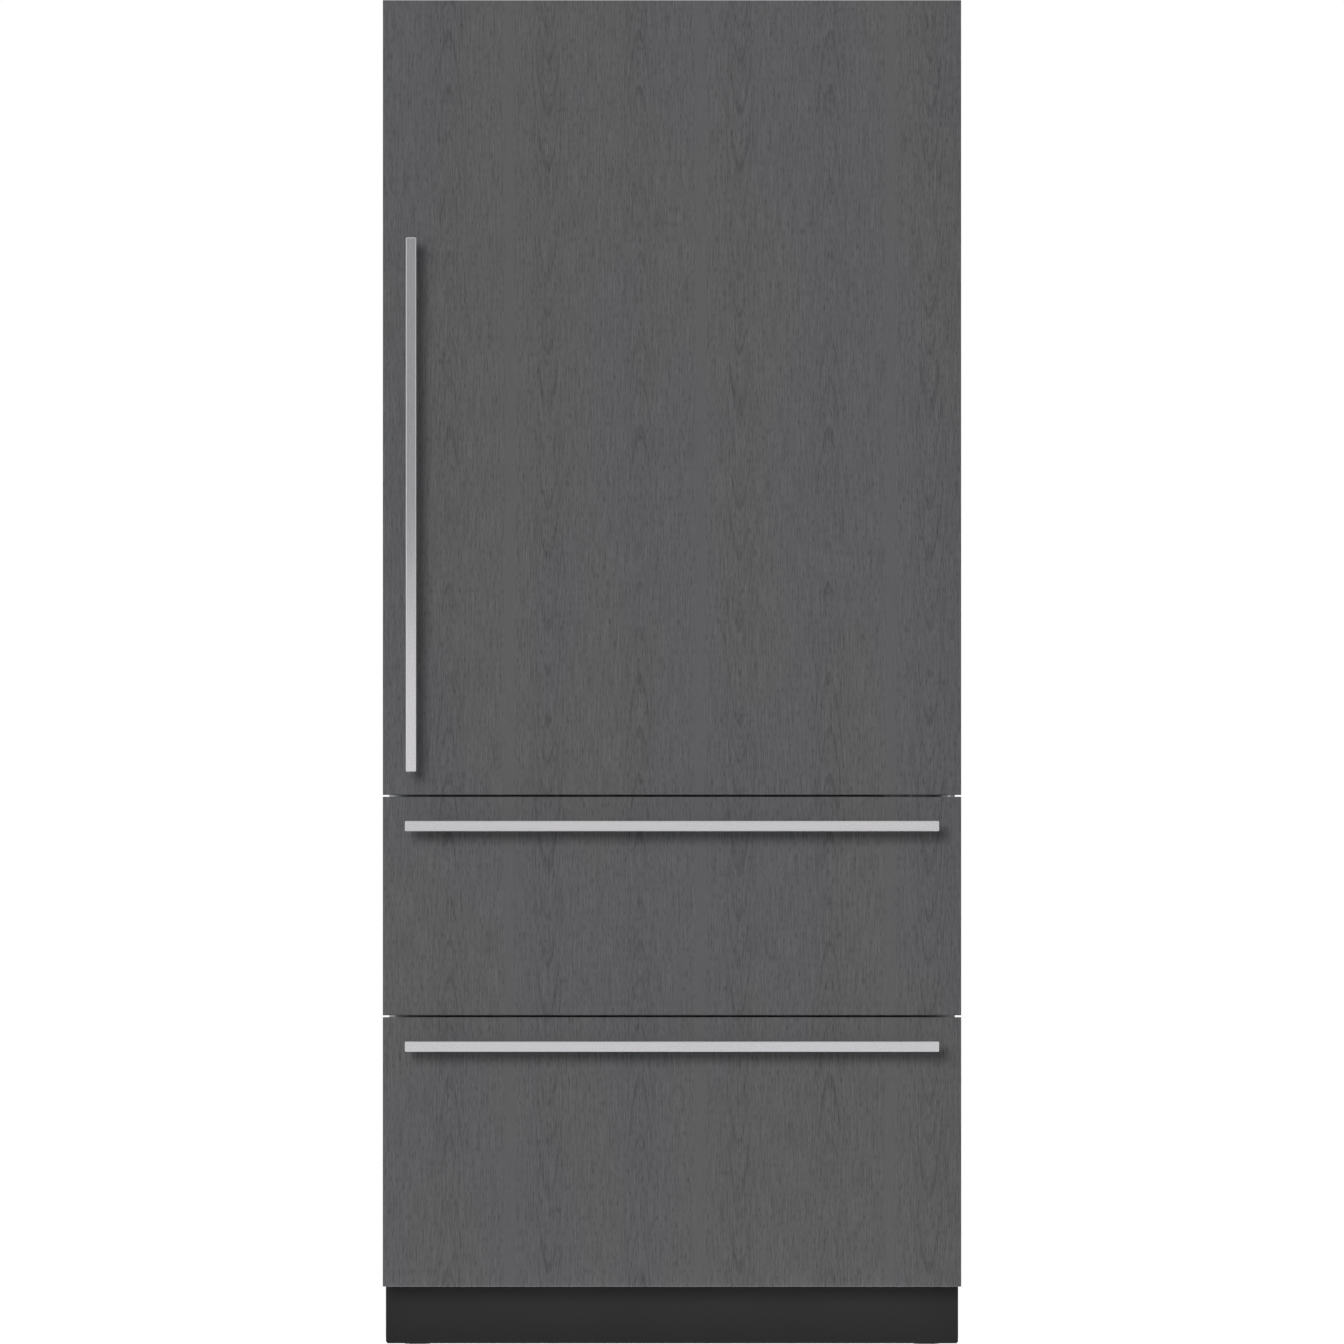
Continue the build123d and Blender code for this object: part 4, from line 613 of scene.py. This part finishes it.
def cabinet_screws():
    """Fixings of the top, sides, grille, hinge leaves and shelf standards."""
    edge_inset = 0.012
    low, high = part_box("top_panel")
    spots = [(x, y, high.z) for x in spaced(-0.42, 0.42, 5)
             for y in (low.y + edge_inset, high.y - edge_inset)]
    screws("top_panel_screws", screw_steel, spots, (0, 0, 1))

    low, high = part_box("side_panels")
    levels = spaced(low.z + 0.03, high.z - 0.03, 8)
    for name, x, way in (("left_side_screws", low.x, -1), ("right_side_screws", high.x, 1)):
        screws(name, black_screw, [(x, high.y - edge_inset, z) for z in levels], (way, 0, 0))

    low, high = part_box("top_grille")
    frame_inset, end_inset = 0.007, 0.045
    spots = [(x, low.y, z) for x in (low.x + frame_inset, high.x - frame_inset)
             for z in (low.z + end_inset, high.z - end_inset)]
    screws("grille_screws", black_screw, spots, (0, -1, 0), 0.0036, 0.0018)

    low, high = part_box("hinge_brackets")
    leaf_y = high.y - 0.003
    lower_z, upper_z = low.z + 0.0075, high.z - 0.016
    spots = [(low.x + 0.014, leaf_y, lower_z), (low.x + 0.042, leaf_y, lower_z),
             (high.x - 0.034, leaf_y, upper_z), (high.x - 0.011, leaf_y, upper_z)]
    screws("hinge_screws", screw_steel, spots, (0, -1, 0), 0.0044, 0.0026)

    low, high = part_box("shelf_tracks")
    first_level, level_pitch = low.z + 0.0365, 0.15
    levels = [first_level + step * level_pitch for step in range(5)]
    spots = [(x, low.y, z) for x in (low.x + 0.01, high.x - 0.01) for z in levels]
    screws("standard_screws", screw_steel, spots, (0, -1, 0), 0.0032, 0.0014)


def pressed_rear_cover():
    """The rear sheet with its screwed flange, pressed ribs, vents and inlet hole, and its screws."""
    low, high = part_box("rear_cover")
    box_low, box_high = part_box("control_box")
    inlet = ((box_low.x + box_high.x) / 2, (box_low.z + box_high.z) / 2)
    rib_middle, rib_reach = sum(rib_ends) / 2, (rib_ends[1] - rib_ends[0]) / 2

    # each area is its middle and its half sizes, in x and z
    holes = [(x, z, *vent_half) for x in vent_columns for z in vent_rows] + [(*inlet, *inlet_half)]
    ribs = [(x, rib_middle, rib_half, rib_reach) for x in rib_centres]
    field = (0.0, (low.z + high.z) / 2, high.x - flange, (high.z - low.z) / 2 - flange)
    shape = bmesh.new()
    bmesh.ops.create_grid(shape, x_segments=1, y_segments=1, size=0.5)
    bmesh.ops.scale(shape, vec=(high.x - low.x, high.z - low.z, 1), verts=shape.verts)
    bmesh.ops.rotate(shape, cent=(0, 0, 0), matrix=Matrix.Rotation(math.pi / 2, 3, "X"), verts=shape.verts)
    bmesh.ops.translate(shape, vec=(0, high.y, field[1]), verts=shape.verts)

    def cut(place, normal):
        geometry = shape.verts[:] + shape.edges[:] + shape.faces[:]
        bmesh.ops.bisect_plane(shape, geom=geometry, dist=weld, plane_co=place, plane_no=normal)

    def within(place, area, slope=0.0):
        x, z, half_x, half_z = area
        return abs(place.x - x) < half_x - slope + slack and abs(place.z - z) < half_z - slope + slack

    # cuts at the sides of every hole, and at both ends of every pressed slope
    outlines = [(hole, 0.0) for hole in holes]
    outlines += [(area, slope) for area in [*ribs, field] for slope in (0.0, press_slope)]
    for (x, z, half_x, half_z), slope in outlines:
        for side in (-1, 1):
            cut((x + side * (half_x - slope), 0, 0), (1, 0, 0))
            cut((0, 0, z + side * (half_z - slope)), (0, 0, 1))
    gone = [face for face in shape.faces if any(within(face.calc_center_median(), hole) for hole in holes)]
    bmesh.ops.delete(shape, geom=gone, context="FACES")
    pressed = [vert for vert in shape.verts if not within(vert.co, field, press_slope)
               or any(within(vert.co, rib, press_slope) for rib in ribs)]
    bmesh.ops.translate(shape, vec=(0, -press_depth, 0), verts=pressed)

    # the faces look backwards before the sheet gets its thickness
    bmesh.ops.recalc_face_normals(shape, faces=shape.faces)
    if sum(face.normal.y for face in shape.faces) < 0:
        bmesh.ops.reverse_faces(shape, faces=shape.faces)
    bmesh.ops.solidify(shape, geom=shape.faces[:], thickness=sheet_thickness)
    cover = finished("pressed_rear_cover", shape, "cabinet", finishes["zinc_steel"],
                     closed=False)
    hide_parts("rear_cover")

    inset = flange / 2
    flange_y = high.y - press_depth
    spots = [(x, flange_y, z) for x in (low.x + inset, high.x - inset)
             for z in spaced(low.z + 0.09, high.z - 0.09, 9)]
    spots += [(x, flange_y, z) for x in spaced(-0.36, 0.36, 5) for z in (low.z + inset, high.z - inset)]
    screws("rear_cover_screws", screw_steel, spots, (0, 1, 0), 0.0046, press_depth)


def drawer_hardware(drawer):
    """Screws through the tabs of the moving slide members, a metal band and corner strips on the tub."""
    body = drawer + "_drawer"
    tab_inset, tab_y, screw_rise = 0.017, 0.0015, 0.009
    low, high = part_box(drawer + "_slide_inner")
    middle = (low.z + high.z) / 2
    spots = [(x, low.y + tab_y, middle + rise) for x in (low.x + tab_inset, high.x - tab_inset)
             for rise in (-screw_rise, screw_rise)]
    screws(drawer + "_front_screws", screw_steel, spots, (0, 1, 0), 0.0040, 0.0022, body)

    band_inset, band_stand, band_bottom, band_top = 0.020, 0.0018, 0.022, 0.002
    wall_x, wall_y, strip_drop = 0.015, 0.003, 0.0005
    low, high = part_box(drawer + "_drawer_basket")
    block(drawer + "_basket_band", (low.x + band_inset, low.y - band_stand, high.z - band_bottom),
          (high.x - band_inset, low.y + sunk, high.z - band_top), 0.0008, body, trim_metal)
    tub_strips(drawer + "_basket_corners", body, (low.x + wall_x, high.x - wall_x),
               (low.y + wall_y, high.y - wall_y), (low.z + wall_y, high.z - strip_drop), 0.010, "tub_plastic")


def tub_strips(name, body, x, y, z, radius, slot):
    """Hollow-rounded strips in the four upright inner corners of an open box."""
    section = [(0, 0)] + [(radius - radius * math.sin(turn), radius - radius * math.cos(turn))
                          for turn in corner_turns]
    shape = bmesh.new()
    for corner_x, way_x in ((x[0], 1), (x[1], -1)):
        for corner_y, way_y in ((y[0], 1), (y[1], -1)):
            verts = [shape.verts.new((corner_x + way_x * across, corner_y + way_y * along, z[0]))
                     for across, along in section]
            face = shape.faces.new(verts)
            grown = bmesh.ops.extrude_face_region(shape, geom=[face])["geom"]
            raised = [item for item in grown if isinstance(item, bmesh.types.BMVert)]
            bmesh.ops.translate(shape, vec=(0, 0, z[1] - z[0]), verts=raised)
    finished(name, shape, body, finishes[slot])


def crisper_details(side):
    """Corner strips of a produce drawer, and the slide that sets its humidity."""
    name = side + "_crisper"
    wall_x, wall_y, front_y, strip_drop = 0.0105, 0.0025, 0.0125, 0.0015
    low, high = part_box(name)
    tub_strips(name + "_corners", name, (low.x + wall_x, high.x - wall_x),
               (low.y + front_y, high.y - wall_y), (low.z + wall_y, high.z - strip_drop), 0.008,
               "clear_plastic")

    middle = (low.x + high.x) / 2
    cover_low, cover_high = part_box("crisper_cover")
    face, top = cover_low.y, cover_high.z
    track_half, track_stand = 0.040, 0.0008
    block(side + "_humidity_track", (middle - track_half, face - track_stand, top - 0.0100),
          (middle + track_half, face + sunk, top - 0.0045), 0.0004, "cabinet", finishes["grille_black"])
    block(side + "_humidity_knob", (middle + 0.008, face - 0.0052, top - 0.0120),
          (middle + 0.024, face - track_stand, top - 0.0025), 0.0012, "cabinet", trim_metal,
          3)


def door_trims():
    """Metal bands along the fronts of the door bins and the dairy lid."""
    bin_height, band_inset, band_stand, band_bottom, band_top = 0.086, 0.017, 0.0018, 0.022, 0.003
    bins_low, bins_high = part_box("door_bins")
    beside_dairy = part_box("dairy_box")[1].x + 0.0025
    floors = spaced(bins_low.z, bins_high.z - bin_height, 3)
    for number, (floor, left) in enumerate(zip(floors, (bins_low.x, bins_low.x, beside_dairy)), 1):
        top = floor + bin_height
        block(f"bin_band_{number}", (left + band_inset, bins_high.y - sunk, top - band_bottom),
              (bins_high.x - band_inset, bins_high.y + band_stand, top - band_top), 0.0008,
              "refrigerator_door", trim_metal)
    lid_inset, lid_stand, lid_bottom, lid_top = 0.012, 0.0014, 0.003, 0.013
    low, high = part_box("dairy_lid")
    block("dairy_lid_band", (low.x + lid_inset, high.y - sunk, low.z + lid_bottom),
          (high.x - lid_inset, high.y + lid_stand, low.z + lid_top), 0.0006,
          "dairy_lid", trim_metal)


def control_marks():
    """Level bars, plus, minus, a lamp, a snow star and an on-off ring on the slope of the control strip."""
    low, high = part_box("control_panel")
    depth, height = high.y - low.y, high.z - low.z
    start = Vector((0, low.y, high.z - height / 3))
    end = Vector((0, low.y + depth / 3, low.z))
    up = (start - end).normalized()
    out = Vector((1, 0, 0)).cross(up)
    shape = bmesh.new()

    # drawn flat about the middle of the slope, across in x and up in y
    bottom, top, mark_edge = -0.00005, 0.00020, 0.00006
    stroke, arm = 0.0011, 0.0066
    sign_x, ring_x, star_x = 0.034, 0.068, 0.092

    def bar(x, y, width, length, turn=0.0):
        eased_block(shape, (x - width / 2, y - length / 2, bottom), (x + width / 2, y + length / 2, top),
                    mark_edge, 1, turn)

    def ring(x, y, radius, width):
        inside = radius - width
        turned(shape, [(inside, bottom), (radius, bottom), (radius, top), (inside, top)],
               (x, y, 0), (0, 0, 1), steps=24, ring=True)

    for level in range(5):
        bar(-0.012 + level * 0.006, -0.0035 + level * 0.0008, 0.0032, 0.0028 + level * 0.0016)
    bar(-sign_x, 0, arm, stroke)
    bar(sign_x, 0, arm, stroke)
    bar(sign_x, 0, stroke, arm)
    ring(-ring_x, 0, 0.0034, 0.0008)
    bar(-ring_x, 0.0034, stroke, 0.0040)
    ring(ring_x, 0.0006, 0.0028, 0.0007)
    bar(ring_x, -0.0036, 0.0026, 0.0008)
    for turn in (0, 60, 120):
        bar(star_x, 0, 0.0010, 0.0074, math.radians(turn))
    place = Matrix.Translation((start + end) / 2) @ Matrix(
        ((1, up.x, out.x, 0), (0, up.y, out.y, 0), (0, up.z, out.z, 0), (0, 0, 0, 1)))
    bmesh.ops.transform(shape, matrix=place, verts=shape.verts)
    finished("control_marks", shape, "cabinet", ink("control_ink", (0.86, 0.93, 1.0), glow=0.7))


def inlet_pins():
    """Three flat pins in the power inlet at the back."""
    half_x, half_z, root, tip = 0.001, 0.002, 0.0165, 0.004
    low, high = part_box("control_box")
    middle, level = (low.x + high.x) / 2, (low.z + high.z) / 2
    shape = bmesh.new()
    for across, rise in ((-0.007, -0.002), (0.0, 0.003), (0.007, -0.002)):
        x, z = middle + across, level + rise
        eased_block(shape, (x - half_x, high.y - root, z - half_z),
                    (x + half_x, high.y - tip, z + half_z), 0.0005)
    finished("inlet_pins", shape, "cabinet", screw_steel)


def machine_fittings():
    """Weld seam and terminal cover of the compressor, the copper lines, and the drier."""
    shell_radius, shell_inset, seam_level = 0.072, 0.098, 0.075
    low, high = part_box("compressor")
    middle_y = (low.y + high.y) / 2
    centre_x, seat = high.x - shell_inset, low.z + 0.003
    seam = bmesh.new()
    inside, slope, crest = shell_radius - 0.001, shell_radius + 0.0015, shell_radius + 0.0026
    turned(seam, [(inside, -0.004), (slope, -0.003), (crest, 0.0), (slope, 0.003), (inside, 0.004)],
           (centre_x, middle_y, seat + seam_level), (0, 0, 1), steps=48, ring=True)
    finished("compressor_seam", seam, "cabinet", finishes["compressor_black"])

    cover_half, cover_y = 0.026, middle_y - shell_radius
    block("terminal_cover", (centre_x - cover_half, cover_y - 0.020, seat + 0.028),
          (centre_x + cover_half, cover_y + 0.010, seat + 0.078), 0.005, "cabinet",
          finishes["motor_plastic"], 3)

    # the lines start at the shell's stubs and end at the coil's plate
    coil_low, coil_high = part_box("condenser_coil")
    plate, coil_y = coil_high.x - 0.012, (coil_low.y + coil_high.y) / 2
    stub = centre_x - shell_radius - 0.012
    hot_level, cold_level = seat + 0.105, seat + 0.045
    pipe("discharge_line", [
        (stub, middle_y, hot_level), (stub - 0.045, middle_y, hot_level),
        (0.055, middle_y - 0.01, seat + 0.106), (0.015, 0.08, seat + 0.108), (0.0, -0.02, seat + 0.104),
        (-0.004, -0.11, seat + 0.098), (-0.02, coil_y, seat + 0.096), (plate, coil_y, seat + 0.096)], 0.0032)
    drop_x, drop_y = stub - 0.064, middle_y + 0.02
    pipe("suction_line", [
        (stub, middle_y, cold_level), (stub - 0.030, middle_y, cold_level),
        (stub - 0.052, middle_y, seat + 0.040), (stub - 0.062, middle_y + 0.01, seat + 0.020),
        (drop_x, drop_y, seat), (drop_x, drop_y, seat - 0.0235)], 0.0045)

    # the drier lies between the coil and the capillary, on one level with both
    drier_x, drier_y, level = 0.02, -0.06, coil_low.z + 0.028
    drier = bmesh.new()
    turned(drier, [(0.0, -0.050), (0.0034, -0.049), (0.0036, -0.040), (0.0105, -0.031), (0.0110, -0.028),
                   (0.0110, 0.028), (0.0105, 0.031), (0.0036, 0.040), (0.0034, 0.049), (0.0, 0.050)],
           (drier_x, drier_y, level), (1, 0, 0), steps=24)
    finished("filter_drier", drier, "cabinet", copper)
    pipe("liquid_line", [
        (plate, coil_y, level), (-0.055, coil_y, level), (-0.045, -0.09, level),
        (-0.040, drier_y, level), (-0.022, drier_y, level)], 0.0028)
    pipe("capillary", [
        (0.064, drier_y, level), (0.082, drier_y, level), (0.096, -0.05, coil_low.z + 0.026),
        (0.098, -0.03, coil_low.z + 0.012), (0.098, -0.028, coil_low.z - 0.0005)], 0.0013)


cabinet_screws()
pressed_rear_cover()
for drawer in ("upper", "lower"):
    drawer_hardware(drawer)
for side in ("left", "right"):
    crisper_details(side)
door_trims()
control_marks()
inlet_pins()
machine_fittings()


def stage_sheet(name, corner, width, height, up, material, unseen):
    """A flat stage piece from one corner, along x and up, which some kinds of ray don't see."""
    mesh = bpy.data.meshes.new(name)
    shape = bmesh.new()
    corner, across, up = Vector(corner), Vector((width, 0, 0)), Vector(up) * height
    places = (corner, corner + across, corner + across + up, corner + up)
    shape.faces.new([shape.verts.new(place) for place in places])
    shape.to_mesh(mesh)
    shape.free()
    mesh.materials.append(material)
    sheet = bpy.data.objects.new(name, mesh)
    scene.collection.objects.link(sheet)
    for ray in unseen:
        setattr(sheet, "visible_" + ray, False)


def shining(name, grey, strength):
    """A material that only gives light."""
    material = bpy.data.materials.new(name)
    material.use_nodes = True
    nodes = Nodes(material.node_tree)
    light = nodes.add("ShaderNodeEmission", {}, {"Color": (grey, grey, grey, 1), "Strength": strength})
    nodes.add("ShaderNodeOutputMaterial", {}, [light])
    return material


def pale_floor():
    """A floor that shows as white where it is lit and keeps the shadow of the object."""
    material = bpy.data.materials.new("studio_floor_paint")
    material.use_nodes = True
    nodes = Nodes(material.node_tree)
    paint = nodes.add("ShaderNodeBsdfDiffuse", {}, {"Color": (floor_grey, floor_grey, floor_grey, 1)})
    path = nodes.add("ShaderNodeLightPath", output="Is Camera Ray")
    seen = path.larger(path.other("Is Glossy Ray")).larger(path.other("Is Transmission Ray"))
    glow = nodes.add("ShaderNodeEmission", {}, {"Color": (1, 1, 1, 1), "Strength": seen * floor_glow})
    nodes.add("ShaderNodeOutputMaterial", {}, [nodes.add("ShaderNodeAddShader", {}, [paint, glow])])
    stage_sheet("studio_floor", (-floor_reach, -floor_reach, 0), 2 * floor_reach, 2 * floor_reach,
                (0, 1, 0), material, ("shadow",))


def handle_flag():
    """A grey card in front of the long bar's upper half, seen only in its reflection."""
    bar_x = (door_bar_low.x + door_bar_high.x) / 2
    stage_sheet("handle_flag", (bar_x - card_half_width, face_y - card_distance, card_bottom),
                2 * card_half_width, card_height, (0, 0, 1), shining("grey_card", card_grey, 1.0),
                ("camera", "diffuse", "transmission", "shadow"))


def kick_bounce():
    """A white card in front of the plinth, which lightens the shade under the lowest panel."""
    stage_sheet("kick_bounce", (-bounce_half_width, face_y - bounce_distance, bounce_bottom),
                2 * bounce_half_width, bounce_height, (0, 0, 1), shining("white_card", 1, bounce_strength),
                ("camera", "glossy", "transmission", "shadow"))


def studio_world():
    """White where it is seen, in glass and in metal, and an even light for everything else."""
    world = bpy.data.worlds.new("studio")
    world.use_nodes = True
    scene.world = world
    nodes = Nodes(world.node_tree)
    path = nodes.add("ShaderNodeLightPath", output="Is Camera Ray")
    glossy = path.other("Is Glossy Ray")
    seen = path.larger(glossy).larger(path.other("Is Transmission Ray"))
    aim = nodes.add("ShaderNodeSeparateXYZ", {}, [nodes.add("ShaderNodeTexCoord", output="Generated")])
    front = (aim.other("Y") * -1).between(*front_cone) * glossy
    behind = aim.other("Y").between(*behind_rise) * aim.maths("ABSOLUTE").between(*side_rise) * glossy
    even = nodes.add("ShaderNodeBackground", {}, [(1, 1, 1, 1), even_light])
    white = nodes.add("ShaderNodeBackground", {}, [
        (1, 1, 1, 1), 1 - front * (1 - mirror_front) - behind * side_shade])
    nodes.add("ShaderNodeOutputWorld", {}, [nodes.add("ShaderNodeMixShader", {}, [seen, even, white])])


def sun(name, travel, strength, width):
    """A distant lamp whose light goes along a direction."""
    lamp = bpy.data.lights.new(name, "SUN")
    lamp.energy = strength
    lamp.angle = width
    place = bpy.data.objects.new(name, lamp)
    place.rotation_mode = "QUATERNION"
    place.rotation_quaternion = Vector(travel).to_track_quat("-Z", "Y")
    place.visible_glossy = False
    scene.collection.objects.link(place)


def front_camera():
    """Low and far in front, aimed so that floor and panel top lie on the frame's edges."""
    top = cad_high.z + frame_margin
    low = math.atan2(-camera_height, camera_distance)
    high = math.atan2(top - camera_height, camera_distance)
    lens = bpy.data.cameras.new("front_camera")
    lens.lens = lens.sensor_width / 2 / math.tan((high - low) / 2)
    lens.clip_start = clip_start
    lens.clip_end = clip_end
    camera = bpy.data.objects.new("front_camera", lens)
    camera.location = (0, face_y - camera_distance, camera_height)
    camera.rotation_euler = (math.pi / 2 + (high + low) / 2, 0, 0)
    scene.collection.objects.link(camera)
    scene.camera = camera


pale_floor()
handle_flag()
kick_bounce()
studio_world()
sun("key_lamp", key_travel, key_strength, key_width)
sun("fill_from_right", right_fill_travel, fill_strength, fill_width)
sun("fill_from_behind", back_fill_travel, fill_strength, fill_width)
front_camera()
scene.view_settings.view_transform = "Standard"
